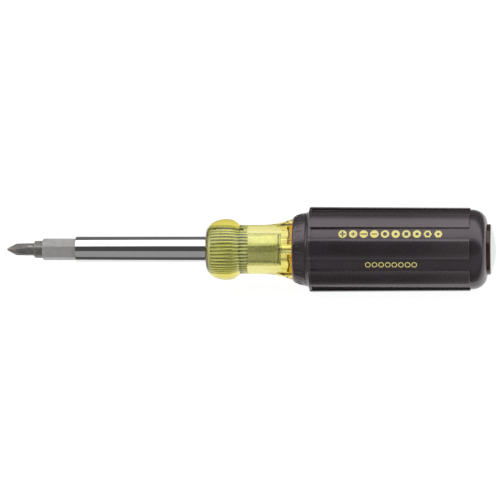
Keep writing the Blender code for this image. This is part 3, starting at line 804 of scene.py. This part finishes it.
# %% The handle's skin
ROUND = evenly(288, 1.25)
rings = [ring(s, fluted(r) if dips else r, ROUND) for s, r, dips in handle_profile()]
rings.append([(HANDLE_LENGTH, 0.0, 0.0)])
MOULDED = INSERT_BORE + 0.25
bore = [
    (BORE_DEPTH, CORE_BORE),
    (INSERT_END + SKIN_GAP, CORE_BORE),
    (INSERT_END + SKIN_GAP, INSERT_TAIL + SKIN_GAP),
    (INSERT_HEAD_END - SOFT_RIM, INSERT_TAIL + SKIN_GAP),
    (INSERT_HEAD_END - SOFT_RIM, MOULDED),
    (SOFT_RIM, MOULDED),
    (SOFT_RIM, FACE_RADIUS - SOFT_RIM),
    (0.0, FACE_RADIUS - SOFT_RIM),
]
inner = [[(BORE_DEPTH, 0.0, 0.0)]] + [ring(s, r, ROUND) for s, r in bore]
handle_clear = skin("handle_clear", inner + rings[1:])
finish_piece(
    handle_clear, HANDLE_PLACE, "handle", ACETATE, ["handle_core"], sharp=40.0
)

# %% [markdown]
# ## The socket in the handle
# A steel bush with straight knurling outside, which stops it from turning in the casting, and a plain tail
# that guides the tube, with a shallow groove near its end. Two slots in its mouth take the tube's wings. A
# bump map would knurl the shading only, and the knurl's outline shows through the plastic, so it is drawn as
# rounded ribs in the ring itself. The slots are square to the axis, and a Boolean cuts those cleanly.

# %% Socket sizes, and its knurl
KNURL_RIBS = 32
KNURL_DEPTH = 0.34
WING_SLOT_END = 15.1
WING_SLOT_WIDTH = 1.3
WING_ANGLE = math.radians(60)
RING_PLACE = 16.2
RING_GROOVE = 0.41
RING_GROOVE_RADIUS = 6.063
TAIL_GROOVE = 0.5


def knurled(radius, depth):
    """A ring radius with rounded ribs."""
    return lambda angle: radius - depth * (0.5 - 0.5 * math.cos(KNURL_RIBS * angle)) ** 1.5


# %% The socket's outline and its two slots
KNURL_ANGLES = evenly(KNURL_RIBS * 12)
socket_profile = [
    (0.2, INSERT_BORE + 0.15, 0.0),
    (0.2, INSERT_HEAD - 0.15, 0.0),
    (0.35, INSERT_HEAD, 0.0),
    (2.9, INSERT_HEAD, 0.0),
    (3.1, INSERT_HEAD - 0.02, KNURL_DEPTH),
    (INSERT_HEAD_END - 0.25, INSERT_HEAD - 0.02, KNURL_DEPTH),
    (INSERT_HEAD_END, INSERT_TAIL, 0.0),
    (INSERT_END - 1.3, INSERT_TAIL, 0.0),
    (INSERT_END - 1.22, INSERT_TAIL - TAIL_GROOVE, 0.0),
    (INSERT_END - 0.62, INSERT_TAIL - TAIL_GROOVE, 0.0),
    (INSERT_END - 0.54, INSERT_TAIL, 0.0),
    (INSERT_END - 0.1, INSERT_TAIL, 0.0),
    (INSERT_END, INSERT_TAIL - 0.1, 0.0),
    (INSERT_END, INSERT_BORE + 0.1, 0.0),
    (INSERT_END - 0.1, INSERT_BORE, 0.0),
    (RING_PLACE + RING_GROOVE, INSERT_BORE, 0.0),
    (RING_PLACE + RING_GROOVE, RING_GROOVE_RADIUS, 0.0),
    (RING_PLACE - RING_GROOVE, RING_GROOVE_RADIUS, 0.0),
    (RING_PLACE - RING_GROOVE, INSERT_BORE, 0.0),
    (0.35, INSERT_BORE, 0.0),
]
socket = skin(
    "knurled_socket",
    [ring(s, knurled(r, depth), KNURL_ANGLES) for s, r, depth in socket_profile],
    loop=True,
)
slots = []
for turn in (WING_ANGLE, WING_ANGLE + math.pi):
    length = WING_SLOT_END + 2.0
    centre = Matrix.Translation((WING_SLOT_END - length / 2, INSERT_HEAD, 0.0))
    around = Matrix.Rotation(turn, 4, "X")
    slots.append(block("slot", (length, 3.8, WING_SLOT_WIDTH), around @ centre))
carve(socket, slots)
finish_piece(
    socket, place(HANDLE_FRONT, SHAFT_TURN), "handle", TURNED, ["socket_insert"]
)

# %% [markdown]
# ## The cushion
# A moulded sleeve: a tapered collar, a full brim, then eight raised ribs with eight panels sunk between
# them, and a rounded rear end. Cutting the panels out of a turned sleeve would leave edges too sharp for
# soft vinyl. One sector of its cross-section is enough: half a panel floor, the wall beside it, a
# rounded rib corner and half a rib. The sector is mirrored and repeated, and the rib height changes along
# the sleeve. Drawing the section point by point keeps the walls upright and the corners round.

# %% Cushion sizes, in millimetres from the handle's front face
GRIP_START = 34.4
GRIP_BASE = 16.003
RIB_START = 41.3
RIB_END = 106.2
RIB_FRONT = GRIP_BASE + 1.095
RIB_REAR = GRIP_BASE + 0.7
GRIP_END = 112.9
PANEL_HALF = 2.6
PANEL_FLOOR = math.sqrt(GRIP_BASE**2 - PANEL_HALF**2)
CORNER_ROUND = 0.22
RIBS = 8
print("ribs, mm across:", 2 * RIB_FRONT, "at the front,", 2 * RIB_REAR, "at the rear")

# %% One ring of the cushion


def cushion_ring(along, radius, floor=PANEL_FLOOR):
    """A ring with ribs of that radius. Panel floors show wherever the radius is above them."""
    top = math.sqrt(radius**2 - PANEL_HALF**2)
    base = min(floor, top)
    round_by = min(CORNER_ROUND, 0.45 * (top - base))
    half = []
    bottom = min(radius, math.hypot(floor, PANEL_HALF))
    for beside in (0.0, 0.5, 1.0, 1.5, 2.0, PANEL_HALF - 0.12):
        half.append((beside, math.sqrt(bottom**2 - beside**2)))
    half.append((PANEL_HALF - 0.03, base + 0.1 * (top - base)))
    half.append((PANEL_HALF, base + 0.3 * (top - base)))
    half.append((PANEL_HALF, top - round_by))
    half.append((PANEL_HALF + 0.08 * round_by, top - 0.6 * round_by))
    half.append((PANEL_HALF + 0.3 * round_by, top - 0.29 * round_by))
    corner = math.asin(PANEL_HALF / radius)
    for share in (0.0, 0.2, 0.45, 0.7, 1.0):
        begin = corner + max(round_by, 0.05) / radius
        a = begin + (math.pi / RIBS - begin) * share
        half.append((radius * math.sin(a), radius * math.cos(a)))
    sector = [(-beside, out) for beside, out in reversed(half[1:-1])] + half
    points = []
    for i in range(RIBS):
        turn = 2 * math.pi * i / RIBS
        for beside, out in sector:
            y = out * math.cos(turn) - beside * math.sin(turn)
            z = out * math.sin(turn) + beside * math.cos(turn)
            points.append((along, y, z))
    return points


# %% [markdown]
# The outline runs from the mouth up the collar, into the groove behind it, over the brim and along the ribs
# to the rounded rear. The inside follows the clear handle with a little room. Ribs lean in slightly towards
# the rear, so their height is worked out from the place along them.

# %% Places along the collar, the brim and the ribs
NOSE = GRIP_START + 0.8
MOUTH = flare_radius(NOSE) + 0.06
COLLAR = GRIP_BASE - 0.9
GROOVE = 40.4
COLLAR_NOSE = (NOSE + 0.9, MOUTH + 0.95)
COLLAR_BACK = (GROOVE - 0.4, COLLAR - 0.38)
PANEL_START = RIB_START + 1.6
BRIM_FLOOR = math.sqrt((GRIP_BASE + 0.84) ** 2 - PANEL_HALF**2)
REAR_ROUND = GRIP_END - 6.1
OPENING = STUB_RADIUS + 0.1
HANDLE_ROOM = 0.3


def rib_radius(along):
    """The ribs' radius, which falls a little from front to rear."""
    return RIB_FRONT - 0.4 * (along - RIB_START) / (RIB_END - RIB_START)


# %% The outline, outside and inside
outer = [
    (NOSE, MOUTH + 0.05),
    (NOSE + 0.1, MOUTH + 0.34),
    (NOSE + 0.3, MOUTH + 0.64),
    (NOSE + 0.58, MOUTH + 0.83),
    COLLAR_NOSE,
    COLLAR_BACK,
    (GROOVE - 0.15, COLLAR - 0.32),
    (GROOVE - 0.05, COLLAR - 0.46),
    (GROOVE + 0.1, COLLAR - 0.44),
    (GROOVE + 0.2, COLLAR - 0.24),
    (RIB_START - 0.1, COLLAR - 0.02),
    (RIB_START + 0.05, COLLAR + 0.1),
    (RIB_START + 0.52, RIB_FRONT - 0.22),
    (RIB_START + 0.65, RIB_FRONT - 0.06),
    (RIB_START + 0.9, RIB_FRONT),
    (PANEL_START, RIB_FRONT),
    (PANEL_START + 0.06, RIB_FRONT),
    (60.0, rib_radius(60.0)),
    (85.0, rib_radius(85.0)),
    (RIB_END - 0.3, RIB_REAR),
    (RIB_END - 0.08, RIB_REAR - 0.08),
    (RIB_END, RIB_REAR - 0.25),
    (RIB_END + 0.06, GRIP_BASE + 0.05),
    (RIB_END + 0.3, GRIP_BASE),
    (REAR_ROUND, GRIP_BASE),
]
outer += arc((REAR_ROUND, GRIP_BASE), (GRIP_END, OPENING), 16, hollow=True)[1:]
inside = [(GRIP_END - 0.8, OPENING)]
shoulder = arc((SHOULDER_START, BODY_RADIUS), (STUB_START, STUB_RADIUS), 6, hollow=True)
inside += [(s + HANDLE_ROOM, r + HANDLE_ROOM) for s, r in reversed(shoulder)]
run = FLARE_END - NOSE - 0.8
inside += [
    (along, flare_radius(along) + HANDLE_ROOM)
    for along in (FLARE_END - run * i / 6 for i in range(7))
]
inside += [(NOSE + 0.5, MOUTH)]

# %% The cushion's skin
cushion = skin(
    "cushion_sleeve",
    [cushion_ring(s, r, PANEL_FLOOR if s > PANEL_START else min(r, BRIM_FLOOR)) for s, r in outer]
    + [cushion_ring(s, r, floor=r) for s, r in inside],
    loop=True,
)
finish_piece(cushion, HANDLE_PLACE, "handle", VINYL, ["cushion_grip"], sharp=50.0)

# %% [markdown]
# A thin sleeve over the flare at the cushion's mouth carries painted light. Its front lip is a thin orange
# line, a painted fringe of light that has run far through the plastic, and its inner part, seen through the
# clear plastic, turns the dark bore of the mouth amber, which is painted light as well. Painting the bore
# would do for one view. A real thin sleeve works from all sides. Its inner part glows a little, in place of
# the light that clear plastic carries along inside itself and that a render of a few bounces loses.

# %% The painted glow film at the mouth
# Painted light: an orange fringe at the lip, and amber colour with a glow inside.
PAINTED_MOUTH_GLOW, tree, shader = new_finish("painted_amber_glow")
inner_glow = beyond(tree, NOSE + 0.3, 0.2)
streak = between(tree, noise(tree, 0.8, 3.0), 0.0, 1.0)
fill(
    tree,
    shader,
    Base_Color=mixed(
        tree,
        inner_glow,
        rgb(0.75, 0.16, 0.03),
        mixed(tree, streak, rgb(0.98, 0.86, 0.40), rgb(0.85, 0.62, 0.25)),
    ),
    Roughness=between(tree, streak, 0.35, 0.5, 0.0, 1.0),
    Normal=bump(tree, noise(tree, 4.0), 0.02, 0.5),
    Emission_Color=mixed(
        tree,
        inner_glow,
        rgb(0.0, 0.0, 0.0),
        mixed(tree, streak, rgb(0.66, 0.53, 0.13), rgb(0.42, 0.33, 0.08)),
    ),
    Emission_Strength=1.0,
)
FILM_START = NOSE - 0.12
FILM_END = 50.0
FILM_STEPS = 30
FILM_OUTSIDE = 0.24
FILM_INSIDE = 0.05
film_run = FILM_END - FILM_START
film_places = [FILM_START + film_run * i / FILM_STEPS for i in range(FILM_STEPS + 1)]
film = [(s, flare_radius(s) + FILM_OUTSIDE) for s in film_places]
film += [(s, flare_radius(s) + FILM_INSIDE) for s in reversed(film_places)]
glow_film = skin("painted_glow_film", [ring(s, r, ROUND) for s, r in film], loop=True)
finish_piece(glow_film, HANDLE_PLACE, "handle", PAINTED_MOUTH_GLOW)

# %% [markdown]
# ## Marks on the cushion
# The collar carries a row of small raised bars and studs, moulded with the sleeve, and two panels carry
# stamped signs. The signs are the tool's own ten drives: two crosses, two slots, two stars, two squares and
# two hexagons, each drawn as a screw head seen from above. A texture could carry them, but a flat filled
# curve with a hole in it stays crisp at any size. It becomes a thin mesh, bent to the panel it lies on.

# %% Outlines for the signs


def polygon(sides, radius, turn=0.0):
    """A regular polygon, or nearly a circle when it has many sides."""
    turns = [turn + 2 * math.pi * i / sides for i in range(sides)]
    return [(radius * math.cos(a), radius * math.sin(a)) for a in turns]


def cross_outline(reach, width):
    """A cross of two bars: three corners in each quarter."""
    w, r = width / 2, reach
    points = [(w, w), (w, r), (-w, r), (-w, w), (-r, w), (-r, -w)]
    return points + [(-w, -w), (-w, -r), (w, -r), (w, -w), (r, -w), (r, w)]


def star_outline(radius, depth):
    """A star with six soft lobes."""
    points = []
    for i in range(36):
        a = 2 * math.pi * i / 36
        reach = radius * (1 - depth + depth * math.cos(6 * a))
        points.append((reach * math.cos(a), reach * math.sin(a)))
    return points


def slot_outline(reach, width):
    """One straight bar."""
    return [(reach, width / 2), (-reach, width / 2), (-reach, -width / 2), (reach, -width / 2)]


# %% [markdown]
# A filled curve becomes a mesh by evaluating it once. Its corners then drop by as much as the round panel
# does at their distance from the middle, so the sign hugs the panel instead of bridging it.

# %% From outlines to thin meshes
INK_HALF = 0.012
INK_LIFT = 0.045


def sign(name, outlines, size, matrix):
    """A shape with holes, a hair thick, bent to the panel, from outlines drawn at unit size."""
    curve = bpy.data.curves.new(name, "CURVE")
    curve.dimensions = "2D"
    curve.fill_mode = "BOTH"
    curve.extrude = INK_HALF
    for outline in outlines:
        spline = curve.splines.new("POLY")
        spline.points.add(len(outline) - 1)
        for point, (u, v) in zip(spline.points, outline):
            point.co = (u * size, v * size, 0.0, 1.0)
        spline.use_cyclic_u = True
    flat = bpy.data.objects.new(name, curve)
    scene.collection.objects.link(flat)
    bpy.context.view_layer.update()
    made = bpy.data.meshes.new_from_object(
        flat.evaluated_get(bpy.context.evaluated_depsgraph_get())
    )
    bpy.data.objects.remove(flat)
    for vertex in made.vertices:
        vertex.co.z += math.sqrt(GRIP_BASE**2 - vertex.co.y**2) - GRIP_BASE
    made.transform(matrix)
    return made


def joined(name, meshes):
    """One object from several meshes."""
    bm = bmesh.new()
    for made in meshes:
        bm.from_mesh(made)
    bmesh.ops.remove_doubles(bm, verts=bm.verts, dist=1e-5)
    return closed_object(name, bm)


# %% [markdown]
# The upper row is filled heads with the drive left open. The lower row is smaller rings, so that the two
# rows read as a title and a note. Both rows are spaced evenly between two places along their panel.

# %% Signs on the two panels that face the camera
HEAD = polygon(28, 1.0)
WIDE_HEAD = polygon(6, 1.0)
SIGNS = [
    [HEAD, cross_outline(0.72, 0.34)],
    [HEAD, cross_outline(0.55, 0.26)],
    [HEAD, slot_outline(0.78, 0.30)],
    [HEAD, slot_outline(0.62, 0.24)],
    [HEAD, star_outline(0.62, 0.18)],
    [HEAD, star_outline(0.46, 0.18)],
    [HEAD, polygon(4, 0.66, math.pi / 4)],
    [HEAD, polygon(4, 0.50, math.pi / 4)],
    [WIDE_HEAD, polygon(20, 0.50)],
    [WIDE_HEAD, polygon(20, 0.34)],
]


def panel_place(along, angle):
    """A frame on a panel floor: its X runs along the handle and its Z points out."""
    out = Vector((0.0, math.cos(angle), math.sin(angle)))
    along_handle = Vector((1.0, 0.0, 0.0))
    across = out.cross(along_handle)
    turn = Matrix((along_handle, across, out)).transposed().to_4x4()
    spot = Vector((along, 0.0, 0.0)) + out * (GRIP_BASE + INK_LIFT)
    return Matrix.Translation(spot) @ turn


def sign_row(name, signs, angle, start, end, size):
    """Signs spaced evenly from start to end along the panel at that angle."""
    meshes = []
    for i, outlines in enumerate(signs):
        along = start + (end - start) * (i + 0.5) / len(signs)
        meshes.append(sign(name, outlines, size, panel_place(along, angle)))
    row = joined(name, meshes)
    return finish_piece(row, HANDLE_PLACE, "handle", INK)


UPPER_PANEL = math.radians(135)
LOWER_PANEL = math.radians(180)
RINGS = [[outline[0], polygon(24, 0.72)] for outline in SIGNS[:8]]
sign_row("upper_panel_signs", SIGNS, UPPER_PANEL, start=53.6, end=96.0, size=1.66)
sign_row("lower_panel_signs", RINGS, LOWER_PANEL, start=64.5, end=85.6, size=1.12)

# %% [markdown]
# The collar's marks are moulded, so they have the cushion's own finish and soft corners. They are small
# bars in a pattern of long, short, long and stud, tilted to lie on the collar's cone.

# %% Raised bars and studs on the collar
MARKS = 40
MARK_PLACE = 37.7
MARK_RISE = 0.15
MARK_ROUND = 0.07
MARK_SIZES = ((3.0, 0.42), (1.9, 0.42), (3.0, 0.42), (0.7, 0.7))
meshes = []
slope = math.atan2(COLLAR_BACK[1] - COLLAR_NOSE[1], COLLAR_BACK[0] - COLLAR_NOSE[0])
radius = COLLAR_NOSE[1] + (MARK_PLACE - COLLAR_NOSE[0]) * math.tan(slope)
spot = Matrix.Translation((MARK_PLACE, radius, 0.0)) @ Matrix.Rotation(slope, 4, "Z")
for i in range(MARKS):
    angle = 2 * math.pi * i / MARKS
    length, width = MARK_SIZES[i % len(MARK_SIZES)]
    stud = block("stud", (length, 2 * MARK_RISE, width), Matrix.Identity(4))
    edge_round = stud.modifiers.new("round", "BEVEL")
    edge_round.width = MARK_ROUND
    edge_round.segments = 2
    bpy.context.view_layer.update()
    depsgraph = bpy.context.evaluated_depsgraph_get()
    made = bpy.data.meshes.new_from_object(stud.evaluated_get(depsgraph))
    bpy.data.objects.remove(stud)
    made.transform(Matrix.Rotation(angle, 4, "X") @ spot)
    meshes.append(made)
collar_marks = joined("collar_marks", meshes)
finish_piece(collar_marks, HANDLE_PLACE, "handle", VINYL)

# %% [markdown]
# ## The shaft tube
# A drawn tube with a hexagon broached in each end and two wings pressed out at its middle, which lock in
# the socket's slots whichever way round it goes in. It could be a cylinder with hexagons cut out of it. But
# a hexagon in polar form is its flat's distance over the cosine of the angle, so the same rings draw the
# round outside and the hexagonal inside, and the mirror finish gets clean, even faces.

# %% Tube sizes, and its two ring shapes
TUBE_RADIUS = 5.223
TUBE_LENGTH = 125.0
TUBE_HEX = 8.138 / 2
TUBE_CORE = 3.916
TUBE_SOCKET = 33.0
WING_HEIGHT = 1.05
WING_HALF = 5.0


def hexagonal(flat, corner_cut=0.0):
    """A ring radius for a hexagon with that distance to its flats, its corners turned down a little."""

    def at(angle):
        off = (angle + math.pi / 6) % (math.pi / 3) - math.pi / 6
        off = math.pi / 6 - abs(off)
        return min(flat / math.cos(off), flat * 2 / math.sqrt(3) - corner_cut)

    return at


def winged(share):
    """The tube's radius with its two wings raised by a share of their height."""

    def at(angle):
        off = math.degrees((angle - WING_ANGLE + math.pi / 2) % math.pi - math.pi / 2)
        full = max(0.0, min(1.0, (5.6 - abs(off)) / 1.6))
        return TUBE_RADIUS + WING_HEIGHT * share * full

    return at


# %% [markdown]
# Both ends of the tube are alike, so half of the outline is enough: out of the socket, over the rounded end
# and along the outside to the wings. The other half is the same one read backwards.

# %% The tube
TUBE_ANGLES = evenly(240)
SOFT_CORNER = 0.05
middle = TUBE_LENGTH / 2
half_tube = [
    (0.25, hexagonal(TUBE_HEX, SOFT_CORNER)),
    (0.0, hexagonal(TUBE_HEX + 0.2, SOFT_CORNER)),
    (0.0, TUBE_RADIUS - 0.14),
    (0.04, TUBE_RADIUS - 0.05),
    (0.14, TUBE_RADIUS),
    (middle - WING_HALF - 0.1, TUBE_RADIUS),
    (middle - WING_HALF, winged(0.7)),
    (middle - WING_HALF + 0.3, winged(1.0)),
]
inside_half = [
    (middle - 1.0, TUBE_CORE),
    (TUBE_SOCKET + 0.3, TUBE_CORE),
    (TUBE_SOCKET, hexagonal(TUBE_HEX, SOFT_CORNER)),
]
first_half = inside_half + half_tube
second_half = [(TUBE_LENGTH - s, r) for s, r in reversed(first_half)]
tube_rings = [ring(s, r, TUBE_ANGLES) for s, r in first_half + second_half]
tube = skin("chromed_tube", tube_rings, loop=True)
finish_piece(tube, place(tube_low.x, SHAFT_TURN), "shaft", CHROME, ["shaft_tube"])

# %% [markdown]
# ## The bit holders
# Each holder is a hexagonal bar, which drives nuts by itself when its bit is out. Its corners are turned
# down at the ends by a lathe, which leaves curved edges where the cone meets the flats. A bevel modifier
# can't make those, and the smaller of a hexagon and a circle at each ring does. A socket goes in from each
# end to a solid web, and a ball sits in a drilled hole halfway along.

# %% Holder sizes, and how a corner is turned down or a hole drilled
HOLDER_LENGTH = 46.2
HOLDER_FLAT = 7.938 / 2
SOCKET_FLAT = 6.55 / 2
SOCKET_DEPTH = 10.2
WELL_RADIUS = 2.95
WELL_DEPTH = 21.1
BALL_HOLE = 1.08
BALL_HOLE_DEPTH = 4.22
HEX_ANGLES = [
    math.radians(60 * k + off) for k in range(6) for off in (-1.3, 1.3, 8, 15, 22.5, 30, 37.5, 45, 52)
]


def turned_down(shape, limit):
    """The smaller of a ring shape and a round limit."""
    return lambda angle: min(shape(angle), limit)


def drill(reach, radius, along, depth):
    """A drill that comes in from the flat at -Z, to depth below it."""
    rings = [[(-reach - 1.0, 0.0, 0.0)], ring(-reach - 1.0, radius, evenly(36))]
    rings += [ring(-reach + depth, radius, evenly(36)), [(-reach + depth, 0.0, 0.0)]]
    made = skin("drill", rings)
    made.data.transform(Matrix.Translation((along, 0.0, 0.0)) @ Matrix.Rotation(-math.pi / 2, 4, "Y"))
    return made


# %% [markdown]
# The holder's skin runs from the web out along one socket, over the end, along the bar and back into the
# other socket, as one closed surface. Only the ball's hole crosses it, so only that is cut.

# %% Both holders


def holder(name, matrix, body, node):
    """A hexagonal bar with a socket in each end."""
    bar = hexagonal(HOLDER_FLAT, 0.09)
    pocket = hexagonal(SOCKET_FLAT, SOFT_CORNER)
    ends = [
        (WELL_DEPTH, WELL_RADIUS),
        (SOCKET_DEPTH, WELL_RADIUS),
        (SOCKET_DEPTH, pocket),
        (0.35, pocket),
        (0.0, hexagonal(SOCKET_FLAT + 0.18, SOFT_CORNER)),
        (0.0, HOLDER_FLAT - 0.1),
        (0.12, turned_down(bar, HOLDER_FLAT + 0.07)),
        (0.35, turned_down(bar, HOLDER_FLAT + 0.32)),
        (0.6, bar),
    ]
    far = [(HOLDER_LENGTH - s, shape) for s, shape in reversed(ends)]
    rings = [[(WELL_DEPTH, 0.0, 0.0)]]
    rings += [ring(s, shape, HEX_ANGLES) for s, shape in ends + far]
    rings += [[(HOLDER_LENGTH - WELL_DEPTH, 0.0, 0.0)]]
    made = skin(name, rings)
    carve(made, [drill(HOLDER_FLAT, BALL_HOLE, HOLDER_LENGTH / 2, BALL_HOLE_DEPTH)])
    return finish_piece(made, matrix, body, SATIN, [node], sharp=12.0)


front_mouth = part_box("front_bit_holder")[0].x
rear_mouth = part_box("rear_bit_holder")[1].x
holder("front_holder_bar", place(front_mouth, SHAFT_TURN), "front_holder", "front_bit_holder")
holder("rear_holder_bar", place(rear_mouth, SHAFT_TURN, True), "rear_holder", "rear_bit_holder")

# %% [markdown]
# ## The bits
# Four bits, each with a large tip at one end and a small one at the other: cross, slot, star and square.
# The shank, its collar and the hexagon are rings again, and star and square tips are ring shapes too. Only
# the cross flutes and the two ground faces of a slot tip are cut, with the same angles as a grinding wheel.

# %% Sizes shared by the bits
TIP_LENGTH = 10.9
HEX_LENGTH = 13.5
BIT_LENGTH = 2 * TIP_LENGTH + HEX_LENGTH
BIT_FLAT = 6.35 / 2
SHANK = 2.45
BIT_BALL_HOLE = 0.88
BIT_BALL_HOLE_DEPTH = 3.82
print("bit length, mm:", BIT_LENGTH)


def tip_rings(profile):
    """Rings for one tip and the hexagon's turned-down end, from the nose inwards."""
    bar = hexagonal(BIT_FLAT, 0.10)
    ends = [
        (TIP_LENGTH - 0.35, SHANK),
        (TIP_LENGTH - 0.1, SHANK + 0.1),
        (TIP_LENGTH, SHANK + 0.3),
        (TIP_LENGTH + 0.25, turned_down(bar, BIT_FLAT)),
        (TIP_LENGTH + 0.65, turned_down(bar, BIT_FLAT + 0.28)),
        (TIP_LENGTH + 0.95, bar),
    ]
    return profile + ends


# %% [markdown]
# A cross tip is a cone with four flutes that climb out of it towards the shank. On the bench a V-shaped
# wheel grinds each flute. Drawing the fluted cone as rings would round off its sharp valleys, so four square
# bars, standing on an edge and tilted like the wheel, cut them.

# %% Cross tips
CROSS_CONE = math.radians(26.5)
CROSS_TURN = math.radians(15)
CROSS_NOSE = 0.45
CROSS_CORE = 0.62
CROSS_SLOPE = math.radians(11)


def cross_profile(radius):
    """The turned outline of a cross tip, from its nose to the shank."""
    cone = (radius - CROSS_NOSE) / math.tan(CROSS_CONE)
    return [
        (0.0, CROSS_NOSE - 0.12),
        (0.08, CROSS_NOSE),
        (cone - 0.15, radius - 0.06),
        (cone + 0.2, radius),
        (cone + 1.0, radius + (SHANK - radius) * 0.2),
        (TIP_LENGTH - 2.0, SHANK),
    ]


def cross_cutters(end):
    """Four V-shaped wheels that climb out of the shank. End turns them round for the far tip."""
    side = 2 * SHANK
    cutters = []
    for i in range(4):
        lift = Matrix.Translation((0.0, 0.0, CROSS_CORE + side / math.sqrt(2)))
        climb = Matrix.Rotation(-CROSS_SLOPE, 4, "Y")
        around = Matrix.Rotation(CROSS_TURN + math.pi / 2 * i, 4, "X")
        to_nose = Matrix.Translation((0.0, 0.0, CROSS_CORE))
        from_nose = Matrix.Translation((0.0, 0.0, -CROSS_CORE))
        path = around @ to_nose @ climb @ from_nose @ lift @ Matrix.Rotation(math.pi / 4, 4, "X")
        cutters.append(block("wheel", (2 * TIP_LENGTH, side, side), end @ path))
    return cutters


# %% [markdown]
# A slot tip starts as a plain shank and is ground on two sides to a blade that thins towards its end. Two
# big blocks, tilted like the grinding stone, leave the same flat faces and curved run-outs.

# %% Slot tips
SLOT_THICKNESS = 0.9
SLOT_SLOPE = math.radians(16)


def slot_profile(half_width):
    """The turned outline of a slot tip, from its edge to the shank."""
    ground = (half_width - SLOT_THICKNESS / 2) / math.tan(SLOT_SLOPE)
    return [
        (0.0, half_width - 0.06),
        (0.06, half_width),
        (ground * 0.75, half_width),
        (ground * 0.75 + 1.6, SHANK + (half_width - SHANK) * 0.2),
        (TIP_LENGTH - 1.6, SHANK),
    ]


def slot_cutters(end, half_width):
    """Two tilted stones. End turns them round for the far tip."""
    cutters = []
    for i in range(2):
        size = 4 * half_width
        lift = Matrix.Translation((0.0, 0.0, size / 2))
        tilt = Matrix.Rotation(-SLOT_SLOPE, 4, "Y")
        path = Matrix.Translation((0.0, 0.0, SLOT_THICKNESS / 2)) @ tilt @ lift
        over = Matrix.Rotation(math.pi * i, 4, "X")
        cutters.append(block("stone", (3 * TIP_LENGTH, size, size), end @ over @ path))
    return cutters


# %% [markdown]
# Star and square tips are straight prisms that a conical shank grows out of. At each ring the larger of the
# prism and the cone is what shows, so no cutting or joining is needed, and the meeting line comes by itself.

# %% Star and square tips
PRISM_LENGTH = 4.4
CONE_START = 3.2
CONE_LENGTH = 3.0
CONE_STEPS = 7


def prism_profile(shape, inner):
    """A straight prism that a conical shank grows out of."""

    def grown(radius):
        return lambda angle: max(shape(angle), radius)

    profile = [(0.0, lambda angle: shape(angle) - 0.08), (0.08, shape), (CONE_START, shape)]
    for i in range(1, CONE_STEPS + 1):
        along = CONE_START + CONE_LENGTH * i / CONE_STEPS
        cone = inner * 0.9 + (SHANK - inner * 0.9) * i / CONE_STEPS
        profile.append((along, grown(cone) if along < PRISM_LENGTH + 0.4 else cone))
    return profile


def star_shape(radius):
    """Six round lobes."""
    return lambda angle: radius * (0.87 + 0.13 * math.cos(6 * angle))


def square_shape(half_side):
    """A square with its corners eased."""

    def at(angle):
        off = angle % (math.pi / 2) - math.pi / 4
        return min(half_side / math.cos(off), half_side * math.sqrt(2) - 0.08)

    return at


# %% [markdown]
# Every bit is the same bar between two tips, so one function builds all four from two outlines. The far tip
# is drawn like the near one and read backwards, and its cutters are turned half round to meet it.

# %% How a bit is built
FAR_END = Matrix.Translation((BIT_LENGTH, 0.0, 0.0)) @ Matrix.Rotation(math.pi, 4, "Z")


def bit(name, near, far, cutters, matrix, body, node):
    """A double-ended bit from two tip outlines and the cutters for both."""
    near_rings = tip_rings(near)
    far_rings = [(BIT_LENGTH - s, shape) for s, shape in reversed(tip_rings(far))]
    rings = [[(0.0, 0.0, 0.0)]]
    rings += [ring(s, shape, HEX_ANGLES) for s, shape in near_rings + far_rings]
    rings += [[(BIT_LENGTH, 0.0, 0.0)]]
    made = skin(name, rings)
    hole = drill(BIT_FLAT, BIT_BALL_HOLE, BIT_LENGTH / 2, BIT_BALL_HOLE_DEPTH)
    carve(made, cutters + [hole])
    return finish_piece(made, matrix, body, BIT_STEEL, [node], sharp=16.0)


# %% Four calls, four bits
HERE = Matrix.Identity(4)
SLOT_HALVES = (2.75, 2.3)
SQUARE_HALVES = (2.85 / 2, 2.3 / 2)
bit(
    "cross_bit_steel",
    cross_profile(2.35),
    cross_profile(1.95),
    cross_cutters(HERE) + cross_cutters(FAR_END),
    place(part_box("cross_bit")[0].x, SHAFT_TURN),
    "front_outer_bit",
    "cross_bit",
)
bit(
    "slotted_bit_steel",
    slot_profile(SLOT_HALVES[0]),
    slot_profile(SLOT_HALVES[1]),
    slot_cutters(HERE, SLOT_HALVES[0]) + slot_cutters(FAR_END, SLOT_HALVES[1]),
    place(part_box("slotted_bit")[1].x, SHAFT_TURN, True),
    "front_inner_bit",
    "slotted_bit",
)
bit(
    "star_bit_steel",
    prism_profile(star_shape(1.65), 1.4355),
    prism_profile(star_shape(1.38), 1.2),
    [],
    place(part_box("star_bit")[1].x, SHAFT_TURN, True),
    "rear_outer_bit",
    "star_bit",
)
bit(
    "square_bit_steel",
    prism_profile(square_shape(SQUARE_HALVES[0]), SQUARE_HALVES[0]),
    prism_profile(square_shape(SQUARE_HALVES[1]), SQUARE_HALVES[1]),
    [],
    place(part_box("square_bit")[0].x, SHAFT_TURN),
    "rear_inner_bit",
    "square_bit",
)

# %% [markdown]
# ## Balls, springs and the ring
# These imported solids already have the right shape, so they stay and only take the spring steel finish. They
# could be drawn again as well, but they hide in their holes. A weld joins the corners that their faces
# share, which closes their surface for the shader.

# %% Finish for the carried-over solids
WELD_REACH = 0.002 * MM
for name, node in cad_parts.items():
    if node.hide_render:
        continue
    node.data.materials.clear()
    node.data.materials.append(SPRING)
    weld = node.modifiers.new("weld", "WELD")
    weld.merge_threshold = WELD_REACH
    print("spring steel on", name)

# %% [markdown]
# ## The sizes of both models
# Both boxes are printed, the imported model's and the dressed model's. The dressed
# model has to stay inside the imported one.

# %% Sizes, and the last line
visual_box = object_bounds()
for label, (low, high) in (("packed", cad_box), ("dressed", visual_box)):
    print(label, "size, mm:", [round((b - a) / MM, 2) for a, b in zip(low, high)])
